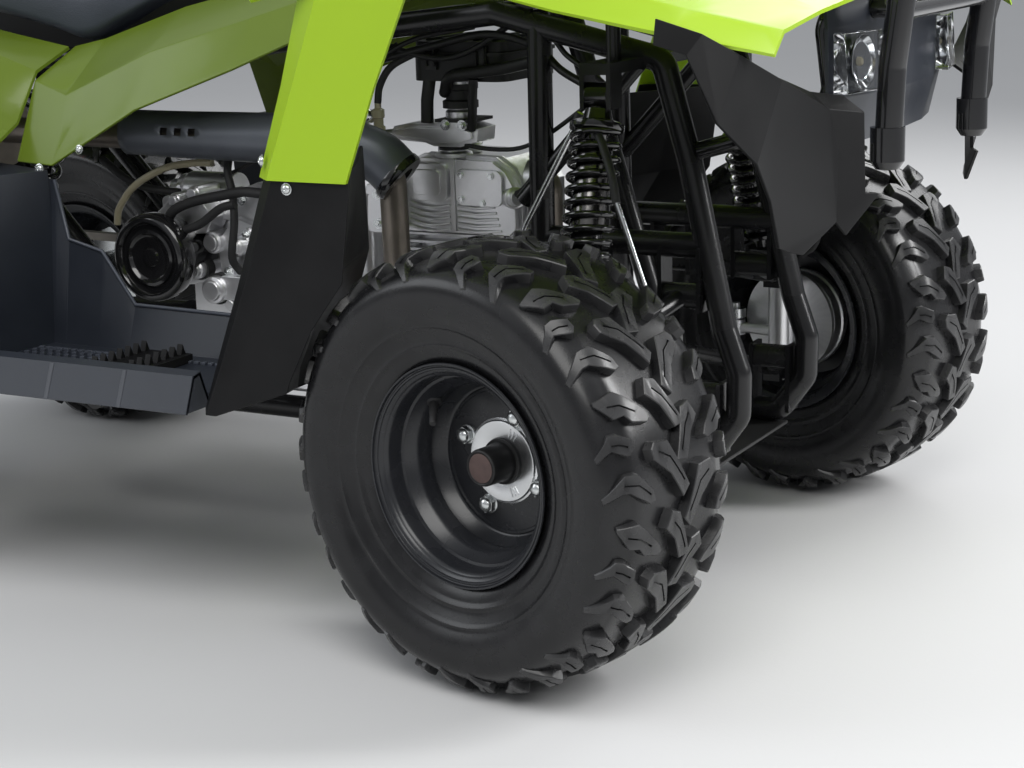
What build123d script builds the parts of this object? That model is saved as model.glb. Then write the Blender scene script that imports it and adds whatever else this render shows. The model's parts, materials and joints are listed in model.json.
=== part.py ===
from build123d import *
from math import sin, cos, radians, atan2, hypot
import os

# A youth all-terrain vehicle: straddle seat, open footwells, tubular frame, lime body.
# Millimetres. +X forward, +Y to the rider's left, +Z up. The ground is z = 0, y = 0 is the
# centre plane, and x = 0 is midway between the bumper's front and the rear tyres' back.

# Driving dimensions
FRONT_X = 507.0            # front axle
REAR_X = -611.0            # rear axle
FRONT_TRACK = 800.0
REAR_TRACK = 740.0
TYRE_R = 226.0             # over the lugs, front and rear
FRONT_TYRE_W = 190.0       # over the shoulder lugs
REAR_TYRE_W = 240.0
SHOULDER = 26.0            # the tread's outer corners are rounded over this width
LUG_H = 10.0               # height of the lugs over the carcass
LUG_GROUPS = 11            # groups of lugs round each half of the tread
LUG_FIRST = 62.0           # degrees, where the first group starts
LUG_SHIFT = 8.2            # degrees from one half's groups to the other's
RIM_SEAT_R = 101.6         # 8 inch bead seat
RIM_FLANGE_R = 113.8
FRONT_RIM_W = 152.0        # over the flanges
REAR_RIM_W = 204.0
RIM_WALL = 3.5
RIM_DROP_R = 88.0          # well of the rim
NUT_PCD = 104.0
HUB_DISC_R = 42.0
CAP_R = 19.5
CAP_OUT = 38.0             # the cap stands this far out of the wheel's middle plane

KINGPIN_OFFSET = 75.0      # kingpin inboard of the wheel's middle plane
REST_STEER = -12.3         # the steering stands turned to the right
KINGPIN_R = 16.0
BALL_LOW_Z = 165.0
BALL_HIGH_Z = 288.0
STEER_ARM = 70.0           # knuckle arm and pitman arm, both pointing back
STEM_TILT = 17.0
STEM_FOOT = (505.0, 0.0, 215.0)
STEM_R = 13.0
PITMAN_UP = 100.0          # along the stem from its foot
ROD_UP = {-1: 16.0, 1: 31.0}  # tie rod eyes, one above the other on the pitman's stud
EYE_T = 10.0
BAR_UP = 790.0

RAIL_R = 14.0
BRACE_R = 10.0
LOW_CROSS_R = 12.0
RAIL_Y = 105.0
RAIL_LOW_Z = 170.0
RAIL_TOP_Y = 100.0
ARM_R = 10.0
BUSH_R = 14.0
BUSH_LEN = 40.0
LOW_BUSH_X = 75.0          # each side of the axle
HIGH_BUSH_X = 52.0
LOW_PIVOT_Z = 235.0
HIGH_PIVOT_Z = 345.0
EAR_T = 5.0

GAP = 0.3                  # between pieces that seat on each other
RUN = 0.3                  # radial clearance of a turning pin
SKIN = 4.0                 # moulded panels
FLOOR_Z = 262.3 + SKIN     # top of the footwell's floor
FOOT_IN = 262.0            # footwell, inner wall
FOOT_OUT = 440.0           # footwell, outer lip
LIP_Z = 298.0              # top of the footwell's outer lip
SKIRT_Z = 257.0            # lower edge of the footwell's skirt and of the mudguard behind
LEG_Y = 464.0              # outer face of the front fender's rear leg
SPRING_R = 26.0

WHEEL_Z = TYRE_R
KINGPIN_Y = FRONT_TRACK / 2 - KINGPIN_OFFSET
AXLE_R = 17.0
SPINDLE_R = 12.0


def write(node, *shapes):
    """Write one node as a STEP file."""
    solids = []
    for shape in shapes:
        solids += list(shape.solids())
    export_step(Compound(children=solids) if len(solids) > 1 else solids[0], f"parts/{node}.step")


def mirrored(shape):
    """The same piece on the left side."""
    return mirror(shape, about=Plane.XZ)


def fuse(shapes):
    total = shapes[0]
    for shape in shapes[1:]:
        total = total + shape
    return total


def tube(points, radius, bend=None):
    """A round bar along straight runs joined by arcs."""
    if len(points) == 2:
        path = Line(points[0], points[1])
    else:
        path = FilletPolyline(*points, radius=bend or 3.2 * radius)
    start = Plane(origin=path @ 0, z_dir=path % 0)
    return sweep(start * Circle(radius), path=path)


def bar_between(a, b, radius):
    return tube([a, b], radius)


def disc(center, axis, radius, length, bore=0.0):
    """A cylinder that starts at center and runs along axis."""
    plane = Plane(origin=center, z_dir=axis)
    ring = Circle(radius) - Circle(bore) if bore else Circle(radius)
    return extrude(plane * ring, amount=length)


def block(x, y, z):
    """A box given by its low and high x, y and z."""
    size = Box(x[1] - x[0], y[1] - y[0], z[1] - z[0])
    return Pos((x[0] + x[1]) / 2, (y[0] + y[1]) / 2, (z[0] + z[1]) / 2) * size


def thick_line(points, t):
    """Closed outline of an open line of 2D points, t thick on its left."""
    moved = []
    for i, (u, v) in enumerate(points):
        dirs = []
        if i > 0:
            dirs.append((u - points[i - 1][0], v - points[i - 1][1]))
        if i < len(points) - 1:
            dirs.append((points[i + 1][0] - u, points[i + 1][1] - v))
        normals = [(-dv / hypot(du, dv), du / hypot(du, dv)) for du, dv in dirs]
        nu = sum(n[0] for n in normals) / len(normals)
        nv = sum(n[1] for n in normals) / len(normals)
        scale = t / (nu * nu + nv * nv)
        moved.append((u + nu * scale, v + nv * scale))
    return points + moved[::-1]


def place(axis, at, u, v):
    return {"x": (at, u, v), "y": (u, at, v), "z": (u, v, at)}[axis]


def skin(axis, stations, t=SKIN):
    """A thin panel lofted through open lines, each in a plane across the axis."""
    wires = []
    for at, points in stations:
        outline = thick_line(points, t)
        wires.append(Wire.make_polygon([place(axis, at, u, v) for u, v in outline], close=True))
    return Solid.make_loft(wires, ruled=True)


def solid_loft(axis, stations):
    """A closed form lofted through outlines, each in a plane across the axis."""
    wires = []
    for at, points in stations:
        wires.append(Wire.make_polygon([place(axis, at, u, v) for u, v in points], close=True))
    return Solid.make_loft(wires, ruled=True)


def revolved(profile):
    """A ring turned about the Y axis, from (radius, y) points."""
    face = make_face(Polyline(*[(r, a, 0) for r, a in profile], close=True))
    return revolve(face, axis=Axis.Y)


# Wheels, built with +Y outboard and turned round for the right side

# Outlines of a group's lugs: (degrees round the wheel, mm across from the middle plane)
LUGS = (
    ((0.0, 86.0), (0.0, 60.0), (-7.5, 36.0), (-8.0, 60.0), (-5.5, 86.0)),
    ((-19.5, 80.0), (-19.5, 66.0), (-27.0, 47.0), (-26.0, 67.0), (-26.0, 91.0), (-22.0, 88.0)),
    ((-13.5, 42.0), (-14.0, 20.0), (-26.0, -4.0), (-28.5, 6.0), (-22.0, 22.7), (-16.0, 45.0)),
)


def tyre(width, rim_w):
    """Right tyre: a carcass and its directional lugs, cut to the tread's outer form."""
    half = width / 2
    lip = rim_w / 2

    def turned(side):
        """A solid ring from the (radius, y) points of its half section."""
        return revolved(side + [(r, -a) for r, a in side[::-1]])
    carcass = turned([
        (RIM_SEAT_R + GAP, lip - 9), (RIM_FLANGE_R - 1, lip - 5), (RIM_FLANGE_R + 4, lip - 2),
        (TYRE_R - 76, half - 9), (TYRE_R - 46, half - 3), (TYRE_R - 8 - LUG_H, half - 14),
        (TYRE_R - LUG_H, half - SHOULDER - LUG_H),
    ])
    outer_form = turned([
        (TYRE_R - 60, half - 8), (TYRE_R - 44, half), (TYRE_R - 14, half - 5), (TYRE_R, half - SHOULDER),
    ])
    foot = TYRE_R - 50.0
    lugs = []
    for hand in (-1, 1):
        for outline in LUGS:
            middle = sum(d for d, _ in outline) / len(outline)
            corners = [(foot, hand * a * width / FRONT_TYRE_W, radians(d - middle) * TYRE_R)
                       for d, a in outline]
            bar = extrude(Face(Wire.make_polygon(corners, close=True)), amount=60, dir=(1, 0, 0))
            cut = bar & outer_form
            start = LUG_FIRST + middle - (LUG_SHIFT if hand > 0 else 0.0)
            lugs += ring_of(cut, LUG_GROUPS, -start)
    return carcass.fuse(*[solid for lug in lugs for solid in lug.solids()])


def rim(width, disc_y):
    """Steel rim: lips, bead seats, well and disc, as a band of constant wall."""
    half = width / 2
    wall = RIM_WALL
    barrel = [
        (RIM_FLANGE_R, half), (RIM_FLANGE_R, half - wall), (RIM_SEAT_R, half - 8),
        (RIM_SEAT_R, half - 24), (RIM_DROP_R, half - 34), (RIM_DROP_R, -half + 34),
        (RIM_SEAT_R, -half + 24), (RIM_SEAT_R, -half + 8), (RIM_FLANGE_R, -half + wall),
        (RIM_FLANGE_R, -half), (RIM_SEAT_R - 2, -half + 5), (RIM_SEAT_R - wall, -half + 22),
        (RIM_DROP_R - wall, -half + 33), (RIM_DROP_R - wall, half - 33),
        (RIM_SEAT_R - wall, half - 22), (RIM_SEAT_R - 2, half - 5),
    ]
    dish = [
        (HUB_DISC_R + 2, disc_y - 2), (HUB_DISC_R + 2, disc_y + 2), (RIM_DROP_R - 12, disc_y + 2),
        (RIM_DROP_R - 2, disc_y + 10), (RIM_DROP_R - 2, disc_y + 4), (RIM_DROP_R - 10, disc_y - 2),
    ]
    return revolved(barrel) + revolved(dish)


def ring_of(shape, count, first=0.0):
    """Copies round the Y axis."""
    return [Rot(0, first + i * 360.0 / count, 0) * shape for i in range(count)]


def front_hub():
    """Brake drum, machined flange, cap and wheel nuts; +Y outboard, bored for the spindle."""
    turned = revolved([
        (SPINDLE_R + RUN, -46), (62, -46), (62, -8), (68, -6), (68, -2 - GAP),
        (HUB_DISC_R, -2 - GAP), (HUB_DISC_R, 3), (CAP_R, 3), (CAP_R, CAP_OUT), (0, CAP_OUT),
        (0, 24), (SPINDLE_R + RUN, 24),
    ])
    nut = Pos(NUT_PCD / 2, 0, 0) * extrude(
        Plane.XZ * RegularPolygon(8, 6), amount=-10)
    nuts = [Pos(0, 2 + GAP, 0) * n for n in ring_of(nut, 4, 67.0)]
    return turned, nuts


def wheel_set(side, rim_w, tyre_w):
    """Rim and tyre about the Y axis; side is -1 on the right."""
    turn = Rot(0, 0, 180) if side < 0 else Rot(0, 0, 0)
    right = tyre(tyre_w, rim_w)
    return turn * rim(rim_w, 0.0), right if side < 0 else mirrored(right)


def about_kingpin(shape, side):
    """A piece made straight ahead, turned with the knuckle to the rest steer."""
    pin = Pos(FRONT_X, side * KINGPIN_Y, 0)
    return pin * Rot(0, 0, REST_STEER) * pin.inverse() * shape


def knuckle(side):
    """Kingpin housing, ball joint pins, spindle, brake plate and steering arm."""
    x, y = FRONT_X, side * KINGPIN_Y
    out = side * FRONT_TRACK / 2
    housing = disc((x, y, BALL_LOW_Z + 13), (0, 0, 1), KINGPIN_R, BALL_HIGH_Z - BALL_LOW_Z - 26)
    pins = disc((x, y, BALL_LOW_Z - 13), (0, 0, 1), 8, BALL_HIGH_Z - BALL_LOW_Z + 26)
    spindle = disc((x, y, WHEEL_Z), (0, side, 0), SPINDLE_R, abs(out - y) + 18)
    plate = disc((x, out - side * 56, WHEEL_Z), (0, side, 0), 66, 6)
    arm_z = WHEEL_Z - 12
    tip = (x - STEER_ARM, y, arm_z)
    arm = bar_between((x, y, arm_z), tip, 7)
    eye = disc((tip[0], tip[1], arm_z - 10), (0, 0, 1), 12, 20)
    stud = disc((tip[0], tip[1], arm_z), (0, 0, 1), 5, 32)
    return about_kingpin(fuse([housing, pins, spindle, plate, arm, eye, stud]), side)


def arm_tip(side):
    """Where the tie rod meets the knuckle's arm, at the rest steer."""
    a = radians(REST_STEER)
    return (FRONT_X - STEER_ARM * cos(a), side * KINGPIN_Y - STEER_ARM * sin(a), WHEEL_Z - 12 + 19)


STEM = Location(STEM_FOOT, (0, -STEM_TILT, 0))


def on_stem(shape):
    """A piece made along the stem's own axis, at the rest steer."""
    return STEM * Rot(0, 0, REST_STEER) * shape


def pitman_ball(side):
    a = radians(REST_STEER)
    u = -STEER_ARM * cos(a)
    v = -STEER_ARM * sin(a)
    w = PITMAN_UP + ROD_UP[side]
    t = radians(STEM_TILT)
    return (STEM_FOOT[0] + u * cos(t) - w * sin(t), v, STEM_FOOT[2] + u * sin(t) + w * cos(t))


def tie_rod(side):
    inner, outer = pitman_ball(side), arm_tip(side)
    t = radians(STEM_TILT)
    up = (-sin(t), 0, cos(t))
    dx, dy, dz = (outer[i] - inner[i] for i in range(3))
    length = hypot(dx, dy, dz)
    unit = (dx / length, dy / length, dz / length)
    start = tuple(inner[i] + unit[i] * 8 for i in range(3))
    end = tuple(outer[i] - unit[i] * 9 for i in range(3))
    rod = bar_between(start, end, 6)
    foot = tuple(inner[i] - up[i] * EYE_T / 2 for i in range(3))
    inner_eye = disc(foot, up, 12, EYE_T)
    inner_bore = disc(tuple(inner[i] - up[i] * 9 for i in range(3)), up, 5 + RUN, 18)
    outer_eye = disc((outer[0], outer[1], outer[2] - 6), (0, 0, 1), 13, 12)
    outer_bore = disc((outer[0], outer[1], outer[2] - 9), (0, 0, 1), 5 + 1.5, 18)
    return fuse([rod, inner_eye, outer_eye]) - inner_bore - outer_bore


# Frame

def bush_ears(x, y, z, rail_z):
    """Two plates that hold a bush between them, from its axis to the rail."""
    low, high = sorted((z - 16 if rail_z > z else z + 16, rail_z))
    plates = []
    for face in (-BUSH_LEN / 2 - GAP - EAR_T, BUSH_LEN / 2 + GAP):
        plates.append(block((x + face, x + face + EAR_T), (y - 15, y + 15), (low, high)))
    pin = disc((x - BUSH_LEN / 2 - GAP - EAR_T, y, z), (1, 0, 0), 5, BUSH_LEN + 2 * GAP + 2 * EAR_T)
    return fuse(plates + [pin])


MID_RAIL_Z = 400.0
PIVOT_X = -235.0
FENDER_STAY_Y = 150.0      # stays from the shock bracket up to the fender's underside
FENDER_STAY_Z = 769.9
PEG_X = -10.0
PEG_BAR_Z = FLOOR_Z - SKIN - 12.0 - GAP
SHOCK_TOP = (500.0, 185.0, 570.0)
SHOCK_LOW = (507.0, 262.0, 329.0)
REAR_SHOCK_TOP = (-400.0, 0.0, 560.0)
REAR_SHOCK_LOW = (-490.0, 0.0, 305.0)
CROSS_HALF = RAIL_TOP_Y - RAIL_R - 6.0   # cross members run between the side loops


def whole_frame():
    half = []
    y, yt = RAIL_Y, RAIL_TOP_Y
    half.append(tube([(PIVOT_X - 25, y, 330), (PIVOT_X + 8, y, RAIL_LOW_Z), (590, y, RAIL_LOW_Z),
                      (623, y, 215), (624, y, 262), (607, y, 310), (566, yt, 490), (535, yt, 600),
                      (330, yt, 650), (60, yt, 620), (-180, yt, 590), (-560, yt, 600),
                      (-690, yt, 630)], RAIL_R, 20))
    half.append(bar_between((PIVOT_X - 25, y, 326), (-520, yt, 598), RAIL_R))
    half.append(bar_between((385, y, RAIL_LOW_Z), (385, yt, 636), RAIL_R))
    half.append(bar_between((385, yt, MID_RAIL_Z), (588, yt, MID_RAIL_Z), RAIL_R))
    half.append(bar_between((505, yt, 596), (360, yt, 440), BRACE_R))
    for turn in (-1, 1):
        half.append(bush_ears(FRONT_X + turn * LOW_BUSH_X, y, LOW_PIVOT_Z, RAIL_LOW_Z))
        half.append(bush_ears(FRONT_X + turn * HIGH_BUSH_X, y, HIGH_PIVOT_Z, MID_RAIL_Z))
    sx, sy, sz = SHOCK_TOP
    half.append(block((sx - 18, sx + 18), (0, sy + 12), (sz + 22, sz + 34)))
    for face in (-18.0, 13.0):
        half.append(block((sx + face, sx + face + EAR_T), (sy - 16, sy + 12), (sz - 14, sz + 24)))
    half.append(disc((sx - 18, sy, sz), (1, 0, 0), 5, 36))
    half.append(bar_between((sx, FENDER_STAY_Y, sz + 28), (sx, FENDER_STAY_Y, FENDER_STAY_Z), 8))
    right = fuse(half)
    cross = [
        bar_between((x, -y, RAIL_LOW_Z), (x, y, RAIL_LOW_Z), LOW_CROSS_R)
        for x in (-200.0, -60.0, 120.0, 290.0, 500.0)
    ]
    for side in (-1, 1):
        cross.append(tube([(PEG_X, side * y, RAIL_LOW_Z), (PEG_X, side * y, PEG_BAR_Z),
                           (PEG_X, side * (FOOT_OUT - 14), PEG_BAR_Z)], 12, 16))
    cross.append(bar_between((PIVOT_X, -y, WHEEL_Z + 9), (PIVOT_X, y, WHEEL_Z + 9), 12))
    rx, _, rz = REAR_SHOCK_TOP
    cross.append(bar_between((rx - 10, -yt, 595), (rx - 10, yt, 595), RAIL_R))
    for face in (-20.0, 15.0):
        cross.append(block((rx - 16, rx + 16), (face, face + EAR_T), (rz - 12, 596)))
    cross.append(disc((rx, -20, rz), (0, 1, 0), 6, 40))
    cross.append(bar_between((-690, -yt, 630), (-690, yt, 630), RAIL_R))
    cross.append(bar_between((50, -yt, 619), (50, yt, 619), RAIL_R))
    head = STEM * Pos(0, 0, 440) * extrude(Circle(24), amount=60)
    foot = STEM * Pos(0, 0, -26) * extrude(Circle(22), amount=56)
    bore = STEM * Pos(0, 0, -60) * extrude(Circle(STEM_R + RUN), amount=700)
    hx = STEM_FOOT[0] - 470 * sin(radians(STEM_TILT))
    hz = STEM_FOOT[2] + 470 * cos(radians(STEM_TILT))
    head_bar = bar_between((hx, -yt, hz), (hx, yt, hz), BRACE_R + 2)
    foot_plate = block((488, 522), (-y, y), (180, 198))
    head_bar = head_bar - bore
    frame_all = fuse([right, mirrored(right)] + cross + [head, foot_plate, foot, head_bar])
    return frame_all - bore


def frame_parts():
    """Two side loops, the cross members between them, the ears on the lower rails, the front posts."""
    whole = whole_frame()
    middle = block((-800, 800), (-CROSS_HALF, CROSS_HALF), (0, 1000))
    near = []
    reach = BUSH_LEN / 2 + GAP + EAR_T + 0.1
    for side in (-1, 1):
        for turn in (-1, 1):
            x = FRONT_X + turn * LOW_BUSH_X
            near.append(block((x - reach, x + reach), sorted((side * (RAIL_Y - 16), side * (RAIL_Y + 16))),
                              (RAIL_LOW_Z + RAIL_R + 0.5, LOW_PIVOT_Z + 17)))
    ears = fuse(near)
    ahead = fuse([block((586, 700), sorted((side * CROSS_HALF, side * (RAIL_Y + 25))), (200, 334))
                  for side in (-1, 1)])
    return whole - middle - ears - ahead, whole & middle, whole & ears, (whole & ahead) - ears


def arm(side, pivot_z, ball_z, bush_x):
    """A two-legged suspension arm: bushes on the frame, an eye round the kingpin."""
    y, ky = side * RAIL_Y, side * KINGPIN_Y
    legs = []
    apex = (FRONT_X, side * (KINGPIN_Y - 22), ball_z + (pivot_z - ball_z) * 0.08)
    for dx in (-bush_x, bush_x):
        x = FRONT_X + dx
        legs.append(bar_between((x, y, pivot_z), apex, ARM_R))
        legs.append(disc((x - BUSH_LEN / 2, y, pivot_z), (1, 0, 0), BUSH_R, BUSH_LEN))
    eye = disc((FRONT_X, ky, ball_z - 10), (0, 0, 1), 17, 20)
    neck = block((FRONT_X - 11, FRONT_X + 11), sorted((side * (KINGPIN_Y - 34), side * (KINGPIN_Y - 8))),
                 (ball_z - 9, ball_z + 9))
    whole = fuse(legs + [eye, neck])
    for dx in (-bush_x, bush_x):
        x = FRONT_X + dx
        whole = whole - disc((x - BUSH_LEN, y, pivot_z), (1, 0, 0), 5 + GAP, 2 * BUSH_LEN)
    return whole - disc((FRONT_X, ky, ball_z - 20), (0, 0, 1), 8 + RUN, 40)


def upper_arm(side):
    """The upper arm also carries the shock's foot between two ears."""
    sx, sy, sz = SHOCK_LOW
    y = side * sy
    ears = []
    for face in (-19.0, 14.0):
        ears.append(block((sx + face, sx + face + EAR_T), (y - 12, y + 12), (sz - 28, sz + 10)))
    base = block((sx - 24, sx + 24), (y - 12, y + 12), (sz - 32, sz - 24))
    pin = disc((sx - 19, y, sz), (1, 0, 0), 5, 38)
    return fuse([arm(side, HIGH_PIVOT_Z, BALL_HIGH_Z, HIGH_BUSH_X), base] + ears + [pin])


def shock(low, top, width, coils, spring_r, wire_r):
    """Damper body, rod, eyes and spring; the spring is a stack of rings on the body."""
    dx, dy, dz = (top[i] - low[i] for i in range(3))
    length = hypot(dx, dy, dz)
    lean = Plane(origin=low, z_dir=(dx, dy, dz))
    body = lean * Pos(0, 0, 26) * extrude(Circle(17), amount=length * 0.42)
    rod = lean * Pos(0, 0, 10) * extrude(Circle(8), amount=length - 20)
    seat_low = lean * Pos(0, 0, 32) * extrude(Circle(spring_r + 2), amount=5)
    seat_top = lean * Pos(0, 0, length - 36) * extrude(Circle(spring_r + 2), amount=6)
    sleeve = lean * Pos(0, 0, 37) * extrude(Circle(spring_r - wire_r), amount=length - 73)
    rings = []
    span = length - 73 - 2 * wire_r
    for i in range(coils):
        z = 37 + wire_r + span * i / (coils - 1)
        rings.append(lean * Pos(0, 0, z) * Torus(spring_r - wire_r, wire_r))
    eyes = []
    across = (1, 0, 0) if width > 0 else (0, 1, 0)
    w = abs(width)
    for p in (low, top):
        start = tuple(p[i] - across[i] * w / 2 for i in range(3))
        eyes.append(disc(start, across, 12, w))
    whole = fuse([rod, body, sleeve, seat_low, seat_top] + rings + eyes)
    for p in (low, top):
        start = tuple(p[i] - across[i] * w for i in range(3))
        bore = 5 + GAP if width > 0 else 6 + GAP
        whole = whole - disc(start, across, bore, 2 * w)
    return whole


def swing_arm():
    """Two arms from the pivot to the axle carrier, which is bored for the axle."""
    parts = [disc((REAR_X, -95, WHEEL_Z), (0, 1, 0), 30, 190)]
    for side in (-1, 1):
        parts.append(tube([(PIVOT_X, side * 70, WHEEL_Z + 9), (REAR_X + 20, side * 70, WHEEL_Z)], 18))
        start = side * 70 - 18
        parts.append(disc((PIVOT_X, start, WHEEL_Z + 9), (0, 1, 0), 22, 36))
    lx, _, lz = REAR_SHOCK_LOW
    parts.append(block((lx - 20, lx + 20), (-75, 75), (WHEEL_Z + 6, WHEEL_Z + 22)))
    for face in (-20.0, 15.0):
        parts.append(block((lx - 14, lx + 14), (face, face + EAR_T), (WHEEL_Z + 20, lz + 14)))
    parts.append(disc((lx, -20, lz), (0, 1, 0), 6, 40))
    whole = fuse(parts) - disc((REAR_X, -100, WHEEL_Z), (0, 1, 0), AXLE_R + RUN, 200)
    return whole - disc((PIVOT_X, -200, WHEEL_Z + 9), (0, 1, 0), 12 + GAP, 400)


def rear_axle():
    """Shaft with a hub flange for each wheel and carriers for sprocket and disc."""
    out = REAR_TRACK / 2
    shaft = disc((REAR_X, -out - 24, WHEEL_Z), (0, 1, 0), AXLE_R, 2 * out + 48)
    parts = [shaft]
    for side in (-1, 1):
        foot = (REAR_X, side * (out - 60), WHEEL_Z)
        parts.append(disc(foot, (0, side, 0), 30, 54))
        parts.append(disc((REAR_X, side * (out - 10), WHEEL_Z), (0, side, 0), 66, 10 - 2 - GAP))
        parts.append(disc((REAR_X, side * (out - 3), WHEEL_Z), (0, side, 0), HUB_DISC_R, 6))
        parts.append(disc((REAR_X, side * out, WHEEL_Z), (0, side, 0), CAP_R, CAP_OUT))
        parts.append(disc((REAR_X, side * 118, WHEEL_Z), (0, side, 0), 45, 8 - GAP))
        parts.append(disc((REAR_X, side * 100, WHEEL_Z), (0, side, 0), 26, 50))
        nut = Pos(NUT_PCD / 2, 0, 0) * extrude(Plane.XZ * RegularPolygon(8, 6), amount=-side * 10)
        for one in ring_of(nut, 4, 20.0):
            parts.append(Pos(REAR_X, side * (out + 2 + GAP), WHEEL_Z) * one)
    return parts


# Body panels: stations of an open line each, outer side first

def footwell(side):
    """Tray with an outer skirt, a floor and an inner wall that rises to the heel guard."""
    def line(top_z, lip_z=LIP_Z):
        return [(-470.0, SKIRT_Z), (-FOOT_OUT - 14, lip_z - 3), (-FOOT_OUT, lip_z),
                (-FOOT_OUT + 12, FLOOR_Z), (-FOOT_IN - 8, FLOOR_Z), (-250.0, top_z)]
    tray = skin("x", [
        (-300.0, line(470.0, LIP_Z + 8)),
        (-196.0, line(462.0, LIP_Z + 4)),
        (-180.0, line(390.0)),
        (-131.0, line(378.0)),
        (-86.0, line(316.0)),
        (150.0, line(312.0)),
    ], -SKIN)
    heel = skin("y", [
        (-FOOT_OUT, [(-296.0, 478.0), (-232.0, 476.0), (-226.0, FLOOR_Z - 2)]),
        (-FOOT_IN + 8, [(-296.0, 478.0), (-206.0, 470.0), (-200.0, FLOOR_Z - 2)]),
    ])
    whole = tray + heel
    return whole if side < 0 else mirrored(whole)


def behind_tyre(y, z, clear):
    """The x that stands clear of all that the turning front tyre sweeps about its kingpin."""
    chord = max(TYRE_R ** 2 - (z - WHEEL_Z) ** 2, 0.0) ** 0.5
    sweep = hypot(chord, KINGPIN_OFFSET + FRONT_TYRE_W / 2 - SHOULDER) + clear
    return FRONT_X - (sweep ** 2 - (y - KINGPIN_Y) ** 2) ** 0.5


def mudguard(side):
    """The front fender's lower leg: rear facet, wide outer face and the wall by the wheel."""
    knee_y, wall_y = 395.0, 275.0
    stations = []
    # height, rear edge, crease, then how far front, knee and wall stand off the tyre's sweep
    for z, rear, crease, front, knee, wall in (
            (SKIRT_Z, 156.0, 171.0, 12.8, 12.5, 22.6),
            (300.0, 172.0, 190.0, 8.5, 12.5, 25.5),
            (357.0, 194.0, 214.0, 7.0, 11.0, 32.5),
            (408.0, 214.0, 235.0, 13.0, 17.0, 53.0),
            (520.0, 253.0, 276.0, 54.0, 46.0, 108.0)):
        stations.append((z, [
            (rear, -LEG_Y + 20), (crease, -LEG_Y), (behind_tyre(LEG_Y, z, front), -LEG_Y),
            (behind_tyre(knee_y, z, knee), -knee_y), (behind_tyre(wall_y, z, wall), -wall_y)]))
    rising = [(150.0, SKIRT_Z - 20), (184.0, SKIRT_Z), (302.0, SKIRT_Z + 42), (420.0, SKIRT_Z + 80),
              (420.0, SKIRT_Z - 20)]
    leg = skin("z", stations, SKIN) - solid_loft("y", [(-LEG_Y - 10, rising), (-LEG_Y + 260, rising)])
    return leg if side < 0 else mirrored(leg)


def front_fender():
    """Hood, fenders and their rear legs in one moulding."""
    def line(centre, hood, inner, crown, outer, lip):
        right = [lip, outer, crown, inner, hood, (0.0, centre)]
        return [(-y if y else y, z) for y, z in right] + [(y, z) for y, z in right[-2::-1]]
    top = skin("x", [
        (262.0, line(800.0, (95, 786), (190, 745), (300, 742), (440, 722), (470, 684))),
        (350.0, line(815.0, (100, 800), (200, 765), (320, 765), (455, 738), (480, 702))),
        (480.0, line(810.0, (105, 795), (205, 765), (325, 768), (458, 738), (484, 704))),
        (600.0, line(785.0, (105, 770), (205, 740), (325, 742), (455, 705), (484, 676))),
        (712.0, line(738.0, (105, 725), (200, 702), (315, 698), (440, 674), (482, 655))),
        (778.0, line(692.0, (100, 682), (180, 672), (280, 664), (376, 652), (400, 632))),
    ], -SKIN)
    out = LEG_Y + GAP

    def leg_line(rear, crease, front, y):
        return [(rear, -y + 20), (crease, -y), (front, -y)]
    leg = skin("z", [
        (508.0, leg_line(248.0, 270.0, 362.0, out)),
        (600.0, leg_line(280.0, 306.0, 398.0, out)),
        (706.0, leg_line(318.0, 352.0, 452.0, 474.0)),
    ], -SKIN)
    tongue = skin("x", [
        (156.0, [(102.0, 700.0), (90.0, 772.0), (44.0, 790.0), (-44.0, 790.0), (-90.0, 772.0), (-102.0, 700.0)]),
        (266.0, [(122.0, 706.0), (104.0, 780.0), (46.0, 795.0), (-46.0, 795.0), (-104.0, 780.0), (-122.0, 706.0)]),
    ], SKIN)
    hole = STEM * Pos(0, 0, 560) * extrude(Circle(42), amount=120)
    return top + tongue + leg + mirrored(leg) - hole


def flare(side):
    """Angular guard ahead of the wheel: top facet, ridge and front face."""
    whole = skin("y", [
        (-474.0, [(694.0, 652.4), (724.0, 648.4), (728.0, 640.0), (716.0, 628.0)]),
        (-300.0, [(738.0, 630.0), (772.0, 612.0), (780.0, 570.0), (728.0, 520.0)]),
        (-200.0, [(768.0, 590.0), (801.0, 565.0), (808.0, 500.0), (750.0, 410.0)]),
    ], -SKIN)
    return whole if side < 0 else mirrored(whole)


def nose():
    """Panel between the front flares, with the lamps on it."""
    def line(x_side, x_mid, x_centre, y):
        return [(x_side, -y), (x_mid, -110.0), (x_centre, 0.0), (x_mid, 110.0), (x_side, y)]
    panel = skin("z", [
        (520.0, line(742.0, 756.0, 762.0, 183.0)),
        (570.0, line(753.0, 770.0, 776.0, 186.0)),
        (640.0, line(752.0, 770.0, 776.0, 188.0)),
        (684.7, line(744.0, 763.0, 769.0, 176.0)),
    ], SKIN)
    for side in (-1, 1):
        panel = panel - disc((735, side * STAY_Y, STAY_Z), (1, 0, 0), BRACE_R + GAP, 60)
    return panel


def headlamp(side):
    """Lens block seated on the nose panel."""
    whole = solid_loft("z", [
        (575.0, [(754.9, -180.0), (770.2, -112.0), (786.0, -112.0), (772.0, -184.0)]),
        (635.0, [(754.6, -180.0), (770.2, -112.0), (783.0, -112.0), (768.0, -184.0)]),
    ])
    return whole if side < 0 else mirrored(whole)


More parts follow.
